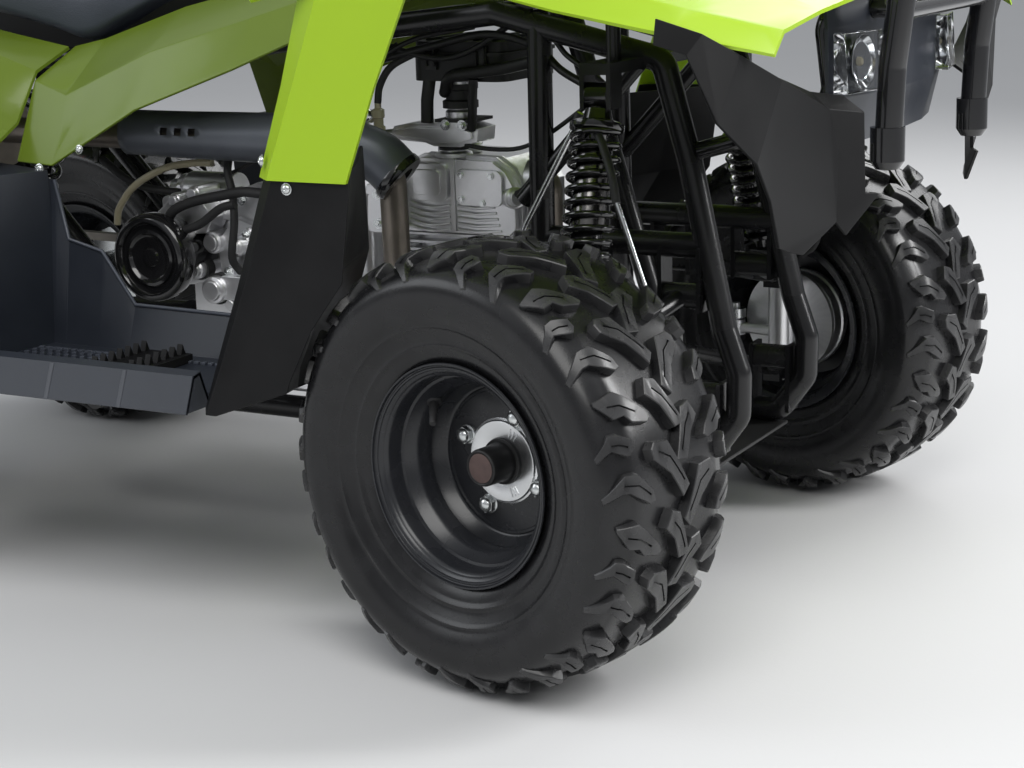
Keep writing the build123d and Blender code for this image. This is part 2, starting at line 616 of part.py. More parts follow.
def side_panel(side):
    """Faceted panel under the seat, above the engine."""
    def line(top_z, mid_y, mid_z, low_y, low_z):
        return [(-low_y, low_z), (-mid_y, mid_z), (-140.0, top_z)]
    whole = skin("x", [
        (-241.7, line(612.0, 219.0, 577.0, 262.0, 484.0)),
        (-192.0, line(622.0, 222.0, 560.0, 258.0, 480.0)),
        (-68.0, line(660.0, 214.0, 612.0, 250.0, 548.0)),
        (70.0, line(690.0, 205.0, 650.0, 246.0, 596.0)),
        (236.0, line(728.0, 180.0, 700.0, 216.0, 664.0)),
    ], -SKIN)
    return whole if side < 0 else mirrored(whole)


def rear_fender():
    """Fenders over the rear wheels, joined behind the seat."""
    def line(inner_z, a, b, c, d):
        return [(-d[0], d[1]), (-c[0], c[1]), (-b[0], b[1]), (-a[0], a[1]), (-152.0, inner_z)]
    half = skin("x", [
        (-242.0, line(612.0, (215, 588), (256, 530), (330, 490), (420, 484))),
        (-330.0, line(628.0, (230, 622), (330, 600), (420, 574), (455, 545))),
        (-450.0, line(652.0, (240, 665), (350, 668), (440, 648), (472, 612))),
        (-600.0, line(660.0, (240, 685), (350, 690), (440, 668), (476, 632))),
        (-760.0, line(664.0, (235, 678), (330, 672), (410, 642), (440, 604))),
        (-815.0, line(655.0, (220, 660), (300, 645), (360, 615), (386, 584))),
    ], -SKIN)
    deck = skin("x", [
        (-650.0, [(-154.0, 661.0), (154.0, 661.0)]),
        (-760.0, [(-154.0, 664.0), (154.0, 664.0)]),
        (-815.0, [(-154.0, 655.0), (154.0, 655.0)]),
    ], -SKIN)
    return half + mirrored(half) + deck


def seat():
    """Plain closed form of the cushion."""
    def section(half, low, high):
        return [(-half, low), (half, low), (half, high - 20), (half - 30, high),
                (-half + 30, high), (-half, high - 20)]
    return solid_loft("x", [
        (-642.0, section(128.0, 672.0, 752.0)),
        (-450.0, section(138.0, 668.0, 738.0)),
        (-234.0, section(138.0, 628.0, 706.0)),
        (-120.0, section(132.0, 662.0, 714.0)),
        (40.0, section(108.0, 705.0, 765.0)),
        (155.7, section(80.0, 740.0, 800.0)),
    ])


def foot_peg(side):
    """Serrated peg bolted through the footwell's floor to the cross bar."""
    y = -352.0
    base = block((PEG_X - 38, PEG_X + 38), (y - 58, y + 58), (FLOOR_Z + GAP, FLOOR_Z + 10))
    teeth = []
    for row_x in (-30.0, 22.0):
        for i in range(8):
            ty = y - 56 + i * 14.6
            tooth = [(ty, FLOOR_Z + 9), (ty + 10, FLOOR_Z + 9), (ty + 5, FLOOR_Z + 22)]
            teeth.append(solid_loft("x", [(PEG_X + row_x, tooth), (PEG_X + row_x + 8, tooth)]))
    whole = fuse([base] + teeth)
    return whole if side < 0 else mirrored(whole)


STAY_Y, STAY_Z = RAIL_TOP_Y, 655.0   # bumper stays, where they pass through the nose


def bumper():
    """Two uprights joined on top, with rounded end caps and stays back to the frame."""
    uprights = tube([(803, -150, 530), (806, -150, 600), (823, -150, 738), (823, 150, 738),
                     (806, 150, 600), (803, 150, 530)], RAIL_R, 36)
    parts = [uprights, bar_between((812, -150, STAY_Z), (812, 150, STAY_Z), BRACE_R)]
    for side in (-1, 1):
        cap = revolve(make_face(Polyline((0, 0), (12, 2), (17.5, 10), (17.5, 44), (0, 44), close=True)),
                      axis=Axis.Y)
        parts.append(Pos(802, side * 150, 497) * Rot(90, 0, 0) * cap)
        # from square on the rail, 40 mm forward, then up behind the nose and out through it
        rail_x, rail_z = 563.2, 500.0
        lead = [(rail_x + reach * 0.9625, side * STAY_Y, rail_z + reach * 0.2713)
                for reach in (RAIL_R + GAP, RAIL_R + GAP + 40.0)]
        parts.append(tube(lead + [(726, side * STAY_Y, 560), (714, side * STAY_Y, STAY_Z),
                                  (812, side * STAY_Y, STAY_Z)], BRACE_R, 24))
    return fuse(parts)


def grab_bar():
    """Rear carrier tube round the seat's end."""
    z = 690.0
    return tube([(-668, -138, 661.8), (-668, -138, z + 26), (-806, -126, z + 30),
                 (-806, 126, z + 30), (-668, 138, z + 26), (-668, 138, 661.8)], BRACE_R, 22)


def skid_plate():
    """Plate under the front of the rails."""
    top = RAIL_LOW_Z - RAIL_R - GAP
    line = [(250.0, top), (598.0, top)]
    return skin("y", [(-112.0, line), (112.0, line)], -SKIN)


# Engine, open to view

SPROCKET_Y = 126.0
SPROCKET_R = 92.0          # over the teeth
SPROCKET_TEETH = 37
CASE_TOP = 300.0
FIN_X = (165.0, 330.0)
FIN_Y = 64.0
CYL_Z = (CASE_TOP + GAP, 430.0)
HEAD_Z = (430.0 + GAP, 490.0)


COVER_AT = (25.0, 332.0)   # x and z of the round cover on the crankcase
COVER_R = 70.0
COVER_SCREWS = 7


def crankcase():
    """Case halves, round covers with their screw bosses, and the chain's output shaft."""
    low = RAIL_LOW_Z + RAIL_R + GAP
    parts = [
        block((-120, 318), (-84, 84), (low, CASE_TOP)),
        block((-120, 140), (-90, 90), (low + 30, 400)),
        disc((COVER_AT[0], -90, COVER_AT[1]), (0, -1, 0), COVER_R, 34),
        disc((COVER_AT[0], -124, COVER_AT[1]), (0, -1, 0), COVER_R - 18, 7),
        disc((-60, 90, 312), (0, 1, 0), 54, 18),
        disc((-95, 90, WHEEL_Z + 50), (0, 1, 0), 12, SPROCKET_Y + 10 - 90),
        disc((-95, SPROCKET_Y, WHEEL_Z + 50), (0, 1, 0), 34, 6),
        disc((70, -90, 250), (0, -1, 0), 48, 44),
        disc((70, -134, 250), (0, -1, 0), 34, 6),
        disc((160, -84, 262), (0, -1, 0), 30, 14),
        disc((240, -84, 250), (0, -1, 0), 36, 10),
    ]
    for i in range(COVER_SCREWS):
        a = radians(20.0 + i * 360.0 / COVER_SCREWS)
        x, z = COVER_AT[0] + (COVER_R - 6) * cos(a), COVER_AT[1] + (COVER_R - 6) * sin(a)
        parts.append(disc((x, -90, z), (0, -1, 0), 8, 37))
    return fuse(parts)


def clutch_cover():
    """Round starter housing behind the cover, with a rolled rim and a raised middle."""
    drum = disc((-112, -90 - GAP, 366), (0, -1, 0), 62, 78)
    rim_band = disc((-112, -150, 366), (0, -1, 0), 66, 12)
    middle = disc((-112, -168, 366), (0, -1, 0), 46, 8)
    return drum + rim_band + middle - disc((COVER_AT[0], -80, COVER_AT[1]), (0, -1, 0), COVER_R + 5, 52)


def cylinder():
    core = block((FIN_X[0] + 22, FIN_X[1] - 22), (-44, 44), CYL_Z)
    fins = []
    count = 10
    pitch = (CYL_Z[1] - CYL_Z[0] - 4) / (count - 1)
    for i in range(count):
        z = CYL_Z[0] + i * pitch
        sheet = RectangleRounded(FIN_X[1] - FIN_X[0], 2 * FIN_Y, 20)
        fins.append(Pos(sum(FIN_X) / 2, 0, z) * extrude(sheet, amount=4))
    return fuse([core] + fins)


def cylinder_head():
    """Head with sloped shoulders, ribs across it, a valve cover and the exhaust port."""
    low, high = HEAD_Z
    back, front = FIN_X[0] + 12, FIN_X[1] - 10

    def outline(grow):
        return [(back + 8, low), (front - 6, low), (front + grow, low + 10), (front + grow, high - 18),
                (front - 16, high), (back + 30, high), (back - grow, high - 26), (back - grow, low + 10)]
    core = solid_loft("y", [(y, outline(0.0)) for y in (-52.0, 52.0)])
    ribs = []
    for y in (-58.0, -46.0, -34.0, 31.0, 43.0, 55.0):
        ribs.append(solid_loft("y", [(y, outline(5.0)), (y + 3.0, outline(5.0))]))
    side_cover = disc((250, -52, 456), (0, -1, 0), 20, 12)
    valve_cover = disc((215, 0, high), (0, 0, 1), 22, 12)
    port = disc((front - 4, -20, 458), (1, 0, 0), 22, FIN_X[1] - front + 4)
    return fuse([core] + ribs + [side_cover, valve_cover, port])


def intake():
    """Elbow on the head, flange with its arm and the throttle body up to the air box."""
    x, y, foot = 285.0, -22.0, HEAD_Z[1] + GAP
    pipe = disc((x, y, foot), (0, 0, 1), 16, 34)
    collar = disc((x, y, foot), (0, 0, 1), 21, 5)
    flange = Pos(x - 5, y, 523) * extrude(RectangleRounded(90, 44, 14), amount=8)
    body = disc((x, y, 530), (0, 0, 1), 21, AIR_BOX_Z - GAP - 530)
    band = disc((x, y, 536), (0, 0, 1), 24, 6)
    arm = disc((x - 5, y, 542), (-1, 0, 0), 9, 70)
    return fuse([pipe, collar, flange, body, band, arm])


AIR_BOX_Z = 570.0 + GAP


def air_box():
    return block((200, 330), (-80, 60), (AIR_BOX_Z, 620))


PIPE_R = 16.0
EXHAUST = [
    (330.3, -20.0, 458.0), (351.5, -20.0, 458.0), (351.5, -24.0, 330.0), (345.0, -96.0, 300.0),
    (225.0, -114.0, 300.0), (205.0, -126.0, 345.0), (205.0, -130.0, 470.0), (140.0, -150.0, 502.0),
    (-60.0, -165.0, 506.0), (-330.0, -190.0, 512.0),
]


def exhaust():
    pipe = tube(EXHAUST, PIPE_R, 20)
    can = disc((-320, -190, 512), (-1, 0, 0), 46, 330)
    return pipe + can


def heat_shield():
    """Slotted half shell over the exhaust's run."""
    axis_dir = (-200.0, -15.0, 4.0)
    plane = Plane(origin=(120.0, -151.5, 502.4), x_dir=(0, 0, 1), z_dir=axis_dir)
    ring = Circle(PIPE_R + 12) - Circle(PIPE_R + 9)
    shell = extrude(plane * ring, amount=170)
    stand = Circle(PIPE_R + 10) - Circle(PIPE_R + GAP)
    for along in (24.0, 138.0):
        shell = shell + plane * Pos(0, 0, along) * extrude(stand, amount=8)
    cut = block((-200, 200), (-150, -60), (400, 600))
    slots = []
    for i in range(4):
        slots.append(block((-30 + i * 14, -24 + i * 14), (-220, -150), (494, 512)))
    return shell - cut - fuse(slots)


def sprocket():
    """Toothed ring with lightening holes."""
    plate = disc((0, 0, 0), (0, 1, 0), SPROCKET_R - 7, 6, 26 + GAP)
    root, tip = SPROCKET_R - 9, SPROCKET_R
    tooth = extrude(Face(Wire.make_polygon([(root, 0, -6.5), (root, 0, 6.5), (tip, 0, 2.0), (tip, 0, -2.0)],
                                           close=True)), amount=6, dir=(0, 1, 0))
    whole = plate.fuse(*ring_of(tooth, SPROCKET_TEETH))
    hole = Pos(58, 0, 0) * disc((0, -1, 0), (0, 1, 0), 11, 8)
    for one in ring_of(hole, 6):
        whole = whole - one
    return Pos(REAR_X, SPROCKET_Y, WHEEL_Z) * whole


def brake_disc():
    return disc((REAR_X, -SPROCKET_Y, WHEEL_Z), (0, -1, 0), 85, 4, 26 + GAP)


def chain():
    """Fixed loop round the sprockets, outside their teeth."""
    front = (-95.0, WHEEL_Z + 50.0)
    front_r = 34.0
    y = SPROCKET_Y - 4.0
    outer = SPROCKET_R + 11.0
    inner = SPROCKET_R + GAP
    back = Plane(origin=(REAR_X, y, WHEEL_Z), z_dir=(0, 1, 0))

    def belt(grow):
        big, small = grow, grow - SPROCKET_R + front_r
        span = hypot(front[0] - REAR_X, front[1] - WHEEL_Z)
        lean = atan2(front[1] - WHEEL_Z, front[0] - REAR_X)
        spread = atan2((span ** 2 - (big - small) ** 2) ** 0.5, big - small)
        pts = []
        for centre, r, start, stop in (((REAR_X, WHEEL_Z), big, spread, 2 * 3.14159265 - spread),
                                       (front, small, -spread, spread)):
            steps = 24
            for i in range(steps + 1):
                a = lean + start + (stop - start) * i / steps
                pts.append((centre[0] + r * cos(a), centre[1] + r * sin(a)))
        return pts
    loops = []
    for grow in (outer, inner):
        wire = Wire.make_polygon([(px, y, pz) for px, pz in belt(grow)], close=True)
        loops.append(extrude(Face(wire), amount=14, dir=(0, 1, 0)))
    return loops[0] - loops[1]


# Steering

def stem():
    top = BAR_UP - 20
    shaft = Pos(0, 0, -24) * extrude(Circle(STEM_R), amount=top + 24)
    collar = Pos(0, 0, 31) * extrude(Circle(20), amount=10)
    plate = Pos(-STEER_ARM / 2, 0, PITMAN_UP + 3) * Box(STEER_ARM + 20, 24, 6)
    stud = Pos(-STEER_ARM, 0, PITMAN_UP + 3) * extrude(Circle(5), amount=ROD_UP[1] + EYE_T)
    clamp = Pos(0, 0, top - 4) * Box(40, 110, 14)
    return on_stem(fuse([shaft, collar, plate, stud, clamp]))


BAR_R = 11.0


def bar_points():
    return [(-70, -370, BAR_UP + 24), (-40, -250, BAR_UP + 34), (0, -130, BAR_UP + 28),
            (0, -62, BAR_UP), (0, 62, BAR_UP), (0, 130, BAR_UP + 28), (-40, 250, BAR_UP + 34),
            (-70, 370, BAR_UP + 24)]


def handlebar():
    bar = tube(bar_points(), BAR_R, 30)
    blocks = [Pos(0, s * 42, BAR_UP - 1.35) * Box(32, 26, 30.7) for s in (-1, 1)]
    pad = Pos(-4, 0, BAR_UP + 34) * Box(60, 150, 34)
    return on_stem(fuse([bar] + blocks + [pad]))


def grips():
    pieces = []
    for side in (-1, 1):
        a = (-70.0, side * 370.0, BAR_UP + 24.0)
        b = (-40.0, side * 250.0, BAR_UP + 34.0)
        sleeve = bar_between(a, (b[0], b[1], b[2]), 16) - bar_between(
            tuple(a[i] + (a[i] - b[i]) * 0.2 for i in range(3)), b, BAR_R + GAP)
        pieces.append(on_stem(sleeve))
    return pieces


def levers():
    pieces = []
    for side in (-1, 1):
        perch = Pos(-34, side * 224, BAR_UP + 33) * Box(44, 34, 34)
        blade = tube([(-24, side * 224, BAR_UP + 33), (16, side * 240, BAR_UP + 33),
                      (2, side * 352, BAR_UP + 27)], 6, 12)
        hole = tube(bar_points(), BAR_R + GAP, 30)
        pieces.append(on_stem(perch + blade - hole))
    return pieces


def tail_lamp():
    return block((-828, -815 - GAP), (-60, 60), (625, 655))


def fuel_cap():
    return disc((212, 0, 794.4), (0, 0, 1), 34, 22)


os.makedirs("parts", exist_ok=True)

side_loops, cross_members, arm_brackets, front_posts = frame_parts()
write("frame", side_loops)
write("cross_members", cross_members)
write("arm_brackets", arm_brackets)
write("front_posts", front_posts)
write("front_bumper", bumper())
write("skid_plate", skid_plate())
write("grab_bar", grab_bar())
write("front_fender", front_fender())
write("mudguards", mudguard(-1), mudguard(1))
write("front_flares", flare(-1), flare(1))
write("nose", nose())
write("headlamps", headlamp(-1), headlamp(1))
write("side_panels", side_panel(-1), side_panel(1))
write("rear_fender", rear_fender())
write("tail_lamp", tail_lamp())
write("fuel_cap", fuel_cap())
write("seat", seat())
write("footwells", footwell(-1), footwell(1))
write("foot_pegs", foot_peg(-1), foot_peg(1))
write("crankcase", crankcase())
write("clutch_cover", clutch_cover())
write("cylinder", cylinder())
write("cylinder_head", cylinder_head())
write("intake", intake())
write("air_box", air_box())
write("exhaust", exhaust())
write("heat_shield", heat_shield())
write("lower_arms", *[arm(s, LOW_PIVOT_Z, BALL_LOW_Z, LOW_BUSH_X) for s in (-1, 1)])
write("upper_arms", *[upper_arm(s) for s in (-1, 1)])
front_shocks = []
for s in (-1, 1):
    low = (SHOCK_LOW[0], s * SHOCK_LOW[1], SHOCK_LOW[2])
    top = (SHOCK_TOP[0], s * SHOCK_TOP[1], SHOCK_TOP[2])
    front_shocks.append(shock(low, top, 26, 12, SPRING_R, 4.0))
write("front_shocks", *front_shocks)
write("swing_arm", swing_arm())
write("rear_shock", shock(REAR_SHOCK_LOW, REAR_SHOCK_TOP, -28, 8, 32.0, 5.5))
write("drive_chain", chain())
write("rear_axle", *rear_axle())
write("sprocket", sprocket())
write("brake_disc", brake_disc())
write("stem", stem())
write("handlebar", handlebar())
write("grips", *grips())
write("levers", *levers())

rear_rims, rear_tyres = [], []
for side, name in ((-1, "right"), (1, "left")):
    write(f"knuckle_{name}", knuckle(side))
    write(f"tie_rod_{name}", tie_rod(side))
    turn = Rot(0, 0, 180) if side < 0 else Rot(0, 0, 0)
    spot = Pos(FRONT_X, side * FRONT_TRACK / 2, WHEEL_Z)
    wheel_rim, wheel_tyre = wheel_set(side, FRONT_RIM_W, FRONT_TYRE_W)
    hub, nuts = front_hub()
    write(f"front_rim_{name}", about_kingpin(spot * wheel_rim, side))
    write(f"front_tyre_{name}", about_kingpin(spot * wheel_tyre, side))
    write(f"front_hub_{name}", about_kingpin(spot * turn * hub, side),
          *[about_kingpin(spot * turn * n, side) for n in nuts])
    spot = Pos(REAR_X, side * REAR_TRACK / 2, WHEEL_Z)
    wheel_rim, wheel_tyre = wheel_set(side, REAR_RIM_W, REAR_TYRE_W)
    rear_rims.append(spot * wheel_rim)
    rear_tyres.append(spot * wheel_tyre)
write("rear_rims", *rear_rims)
write("rear_tyres", *rear_tyres)
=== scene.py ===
import json
from math import cos, exp, hypot, pi, radians, sin, tau

import bmesh
import bpy
from mathutils import Matrix, Vector
from mathutils.geometry import tessellate_polygon


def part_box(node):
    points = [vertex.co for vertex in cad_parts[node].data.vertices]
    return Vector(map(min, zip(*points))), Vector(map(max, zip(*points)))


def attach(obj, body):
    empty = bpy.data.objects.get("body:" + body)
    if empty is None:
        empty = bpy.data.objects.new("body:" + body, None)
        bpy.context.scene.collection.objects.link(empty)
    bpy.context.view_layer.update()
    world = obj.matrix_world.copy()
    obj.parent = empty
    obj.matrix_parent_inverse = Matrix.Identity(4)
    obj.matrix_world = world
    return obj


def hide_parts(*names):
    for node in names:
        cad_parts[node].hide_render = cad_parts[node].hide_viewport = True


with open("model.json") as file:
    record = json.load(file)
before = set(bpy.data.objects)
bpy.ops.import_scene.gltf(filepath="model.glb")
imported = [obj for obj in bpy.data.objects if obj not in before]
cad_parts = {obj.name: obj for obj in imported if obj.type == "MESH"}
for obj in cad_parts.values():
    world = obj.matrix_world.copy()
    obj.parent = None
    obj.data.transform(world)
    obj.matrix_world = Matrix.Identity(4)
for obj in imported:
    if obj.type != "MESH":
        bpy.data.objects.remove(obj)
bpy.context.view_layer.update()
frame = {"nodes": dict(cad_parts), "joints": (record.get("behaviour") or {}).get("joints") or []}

# A youth all-terrain vehicle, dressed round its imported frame. Sizes and places are millimetres in
# the frame's own axes (+X forward, +Y left, +Z up) until a piece becomes a mesh in metres.

MM = 0.001
NODES = frame["nodes"]
JOINTS = {j["name"]: j for j in frame["joints"]}
RIGHT, LEFT = -1, 1
SIDES = {RIGHT: "right", LEFT: "left"}
TO_FRONT, TO_BACK, TO_RIGHT, UPWARD = (1, 0, 0), (-1, 0, 0), (0, -1, 0), (0, 0, 1)

FRONT_TYRE_W = 190.0
REAR_TYRE_W = 240.0
FRONT_RIM_W = 152.0
REAR_RIM_W = 204.0
TYRE_R = 226.0
RIM_FLANGE_R = 113.8
CAP_R = 19.5
CAP_OUT = 38.0
NUT_CIRCLE_R = 52.0
NUT_ANGLE = 157.0
FLANGE_MARKS = (62.0, 298.0)    # degrees round the wheel
VALVE_R, VALVE_ANGLE = 86.0, 137.0
SHOCK_TOP = (500.0, 185.0, 570.0)    # of the left one
SHOCK_LOW = (507.0, 262.0, 329.0)
REAR_SHOCK_TOP = (-400.0, 0.0, 560.0)
REAR_SHOCK_LOW = (-490.0, 0.0, 305.0)


# Camera, floor and light

CAMERA_MM = (1440.49, -2109.81, 771.72)
CAMERA_YAW, CAMERA_PITCH, CAMERA_ROLL = 118.746, 13.430, -1.660
CAMERA_LENS = 71.199
FLOOR_REACH, FLOOR_GAP = 60.0, 0.0005    # metres


def from_columns(x, y, z, origin):
    """The place with these three axes and this origin."""
    return Matrix([(x[i], y[i], z[i], origin[i]) for i in range(3)] + [(0, 0, 0, 1)])


def make_camera():
    yaw, pitch, roll = (radians(v) for v in (CAMERA_YAW, CAMERA_PITCH, CAMERA_ROLL))
    ahead = Vector((cos(yaw) * cos(pitch), sin(yaw) * cos(pitch), -sin(pitch)))
    level = Vector((sin(yaw), -cos(yaw), 0))
    up = level.cross(ahead)
    right = cos(roll) * level + sin(roll) * up
    top = -sin(roll) * level + cos(roll) * up
    data = with_settings(bpy.data.cameras.new("camera"), lens=CAMERA_LENS, sensor_width=36.0, clip_end=200.0)
    camera = bpy.data.objects.new("camera", data)
    camera.matrix_world = from_columns(right, top, -ahead, Vector(CAMERA_MM) * MM)
    bpy.context.scene.collection.objects.link(camera)
    bpy.context.scene.camera = camera


def nodes_of(material_or_world):
    material_or_world.use_nodes = True
    tree = material_or_world.node_tree
    tree.nodes.clear()
    return tree


def with_settings(thing, **settings):
    for key, value in settings.items():
        setattr(thing, key, value)
    return thing


def node(tree, kind, inputs=None, **settings):
    """A new shader node with its settings, then the values of its inputs."""
    made = with_settings(tree.nodes.new("ShaderNode" + kind), **settings)
    for key, value in (inputs or {}).items():
        made.inputs[key].default_value = value
    return made


def sky(tree, height, low, high, span, strength):
    """A background that goes from one colour to another between two heights."""
    ramp = node(tree, "ValToRGB")
    for stop, colour, position in zip(ramp.color_ramp.elements, (low, high), span):
        stop.color = (*colour, 1)
        stop.position = position
    shown = node(tree, "Background", {"Strength": strength})
    tree.links.new(height, ramp.inputs[0])
    tree.links.new(ramp.outputs["Color"], shown.inputs["Color"])
    return shown.outputs[0]


def make_world():
    """Soft light from above; what the camera, metal and glass see is a pale backdrop."""
    world = bpy.data.worlds.new("studio")
    bpy.context.scene.world = world
    tree = nodes_of(world)
    link = tree.links.new
    split = node(tree, "SeparateXYZ")
    link(node(tree, "TexCoord").outputs["Generated"], split.inputs[0])
    height = split.outputs["Z"]
    light = sky(tree, height, (0.22, 0.225, 0.23), (0.92, 0.95, 1.0), (0.02, 0.75), 0.56)
    pale = sky(tree, height, (0.29, 0.295, 0.306), (0.56, 0.58, 0.60), (0.06, 0.75), 1.0)
    path = node(tree, "LightPath")
    seen = path.outputs["Is Camera Ray"]
    for kind in ("Is Glossy Ray", "Is Transmission Ray"):
        either = node(tree, "Math", operation="MAXIMUM")
        link(seen, either.inputs[0])
        link(path.outputs[kind], either.inputs[1])
        seen = either.outputs[0]
    mix = node(tree, "MixShader")
    for source, socket in zip((seen, light, pale), mix.inputs):
        link(source, socket)
    link(mix.outputs[0], node(tree, "OutputWorld").inputs["Surface"])


def area_light(name, place, target, size, watts, colour=(1, 1, 1)):
    data = with_settings(bpy.data.lights.new(name, "AREA"), shape="RECTANGLE", size=size[0], size_y=size[1],
                         energy=watts, color=colour)
    lamp = bpy.data.objects.new(name, data)
    lamp.location = place
    lamp.rotation_euler = (Vector(target) - Vector(place)).to_track_quat("-Z", "Y").to_euler()
    bpy.context.scene.collection.objects.link(lamp)


def make_floor(material):
    mesh = bpy.data.meshes.new("floor")
    corners = ((-1, -1), (1, -1), (1, 1), (-1, 1))
    mesh.from_pydata([(FLOOR_REACH * x, FLOOR_REACH * y, 0) for x, y in corners], [], [(0, 1, 2, 3)])
    floor = bpy.data.objects.new("floor", mesh)
    floor.location.z = -FLOOR_GAP
    mesh.materials.append(material)
    bpy.context.scene.collection.objects.link(floor)


# Materials

EDGE_POINTINESS = (0.52, 0.60)    # where the painted edge highlight begins, and where it is full


def finish(name, colour, rough, metal=0.0, grain=None, shade=0.0, shade_mm=40.0,
           edge_highlight=0.0, coat=0.0, specular=0.5, stretch=(1, 1, 1), rough_spread=0.06, cells=False):
    """A surface with slow changes of shade and gloss, a painted highlight on convex edges, and fine relief.

    grain is the relief's width and height in millimetres.
    """
    material = bpy.data.materials.new(name)
    tree = nodes_of(material)
    link = tree.links.new
    shader = node(tree, "BsdfPrincipled", {"Metallic": metal, "Specular IOR Level": specular,
                                           "Coat Weight": coat, "Coat Roughness": 0.08})
    link(shader.outputs[0], node(tree, "OutputMaterial").inputs["Surface"])
    stretched = node(tree, "Mapping", {"Scale": stretch})
    link(node(tree, "TexCoord").outputs["Object"], stretched.inputs["Vector"])
    slow = node(tree, "TexNoise", {"Scale": 1000.0 / shade_mm, "Detail": 5.0})
    link(stretched.outputs[0], slow.inputs["Vector"])

    dark = tuple(c * (1 - shade) for c in colour)
    light = tuple(min(c * (1 + shade) + 0.02 * shade, 1.0) for c in colour)
    tone = node(tree, "Mix", {"A": (*dark, 1), "B": (*light, 1)}, data_type="RGBA")
    link(slow.outputs["Fac"], tone.inputs["Factor"])
    colour_from = tone.outputs["Result"]
    # Painted highlight: convex edges, found by pointiness, are lightened as if light caught them.
    if edge_highlight:
        highlight_colour = tuple(min(c * 1.6 + 0.10, 1.0) for c in colour)
        low, high = EDGE_POINTINESS
        edge = node(tree, "MapRange", {"From Min": low, "From Max": high, "To Max": edge_highlight})
        edge_lit = node(tree, "Mix", {"B": (*highlight_colour, 1)}, data_type="RGBA")
        link(node(tree, "NewGeometry").outputs["Pointiness"], edge.inputs["Value"])
        link(edge.outputs[0], edge_lit.inputs["Factor"])
        link(colour_from, edge_lit.inputs["A"])
        colour_from = edge_lit.outputs["Result"]
    link(colour_from, shader.inputs["Base Color"])

    gloss = node(tree, "MapRange", {"To Min": max(rough - rough_spread, 0.02),
                                    "To Max": rough + rough_spread})
    link(slow.outputs["Fac"], gloss.inputs["Value"])
    link(gloss.outputs[0], shader.inputs["Roughness"])
    if grain:
        size, height = grain
        fine = node(tree, "TexVoronoi" if cells else "TexNoise", {"Scale": 1000.0 / size})
        relief = node(tree, "Bump", {"Strength": 1.0, "Distance": height * MM})
        link(stretched.outputs[0], fine.inputs["Vector"])
        link(fine.outputs["Distance" if cells else "Fac"], relief.inputs["Height"])
        link(relief.outputs[0], shader.inputs["Normal"])
    return material


def clear_finish(name, colour, rough):
    material = finish(name, colour, rough, shade=0.05, rough_spread=0.02)
    shader = next(n for n in material.node_tree.nodes if n.type == "BSDF_PRINCIPLED")
    shader.inputs["Transmission Weight"].default_value = 1.0
    return material


LIME = finish("lime", (0.36, 0.56, 0.018), 0.34, grain=(2.2, 0.012), shade=0.05, shade_mm=180,
              coat=0.10, specular=0.36, rough_spread=0.04)
# The same lime plastic, darkened: painted shade on the side panels and rear fender.
LIME_PAINTED_SHADE = finish("lime_in_painted_shade", (0.125, 0.185, 0.015), 0.26, grain=(2.2, 0.010), shade=0.12,
               shade_mm=140, coat=0.10, specular=0.30, rough_spread=0.04)
BLACK_PLASTIC = finish("black_plastic", (0.0075, 0.0075, 0.008), 0.40, grain=(1.1, 0.05), shade=0.25,
                       edge_highlight=0.25, specular=0.24)
MATT_BLACK = finish("matt_black", (0.0045, 0.0045, 0.005), 0.44, grain=(1.1, 0.05), shade=0.25,
                    edge_highlight=0.12, specular=0.15)
GREY_PLASTIC = finish("grey_plastic", (0.020, 0.024, 0.033), 0.36, grain=(1.2, 0.05), shade=0.18,
                      edge_highlight=0.45, specular=0.36)
FRAME_PAINT = finish("frame_paint", (0.008, 0.008, 0.009), 0.26, grain=(3.0, 0.03), shade=0.2,
                     edge_highlight=0.10, specular=0.42)
GLOSS_BLACK = finish("gloss_black", (0.008, 0.008, 0.009), 0.14, grain=(4.0, 0.02), shade=0.2,
                     coat=0.5, rough_spread=0.04)
RIM_PAINT = finish("rim_paint", (0.014, 0.015, 0.018), 0.27, grain=(2.5, 0.02), shade=0.2,
                   rough_spread=0.05)
TYRE_RUBBER = finish("tyre_rubber", (0.0065, 0.0065, 0.0075), 0.27, grain=(1.6, 0.06), shade=0.35,
                     shade_mm=25, edge_highlight=0.35, specular=0.42, rough_spread=0.07)
GRIP_RUBBER = finish("grip_rubber", (0.015, 0.015, 0.016), 0.6, grain=(1.0, 0.08), shade=0.2)
# The grey plastic made lighter: painted highlight on raised studs and edge beads.
GREY_PAINTED_HIGHLIGHT = finish("grey_plastic_painted_highlight", (0.062, 0.070, 0.090), 0.34, grain=(1.2, 0.03), shade=0.12)
SEAT_VINYL = finish("seat_vinyl", (0.030, 0.036, 0.052), 0.42, grain=(1.7, 0.16), shade=0.16,
                    cells=True)
CAST_ALLOY = finish("cast_alloy", (0.80, 0.80, 0.82), 0.34, metal=0.92, grain=(1.6, 0.16),
                    shade=0.16, shade_mm=24, edge_highlight=0.5, rough_spread=0.12)
TURNED_ALLOY = finish("turned_alloy", (0.78, 0.79, 0.80), 0.24, metal=1.0, grain=(0.6, 0.02),
                      shade=0.08, rough_spread=0.05)
ZINC = finish("zinc", (0.70, 0.72, 0.72), 0.26, metal=1.0, grain=(2.0, 0.03), shade=0.15)
PLATE_STEEL = finish("plate_steel", (0.42, 0.42, 0.43), 0.38, metal=1.0, grain=(0.8, 0.04),
                     shade=0.15, stretch=(0.1, 1, 1))
EXHAUST_STEEL = finish("exhaust_steel", (0.24, 0.21, 0.18), 0.40, metal=0.8, grain=(2.0, 0.06),
                       shade=0.45, shade_mm=35)
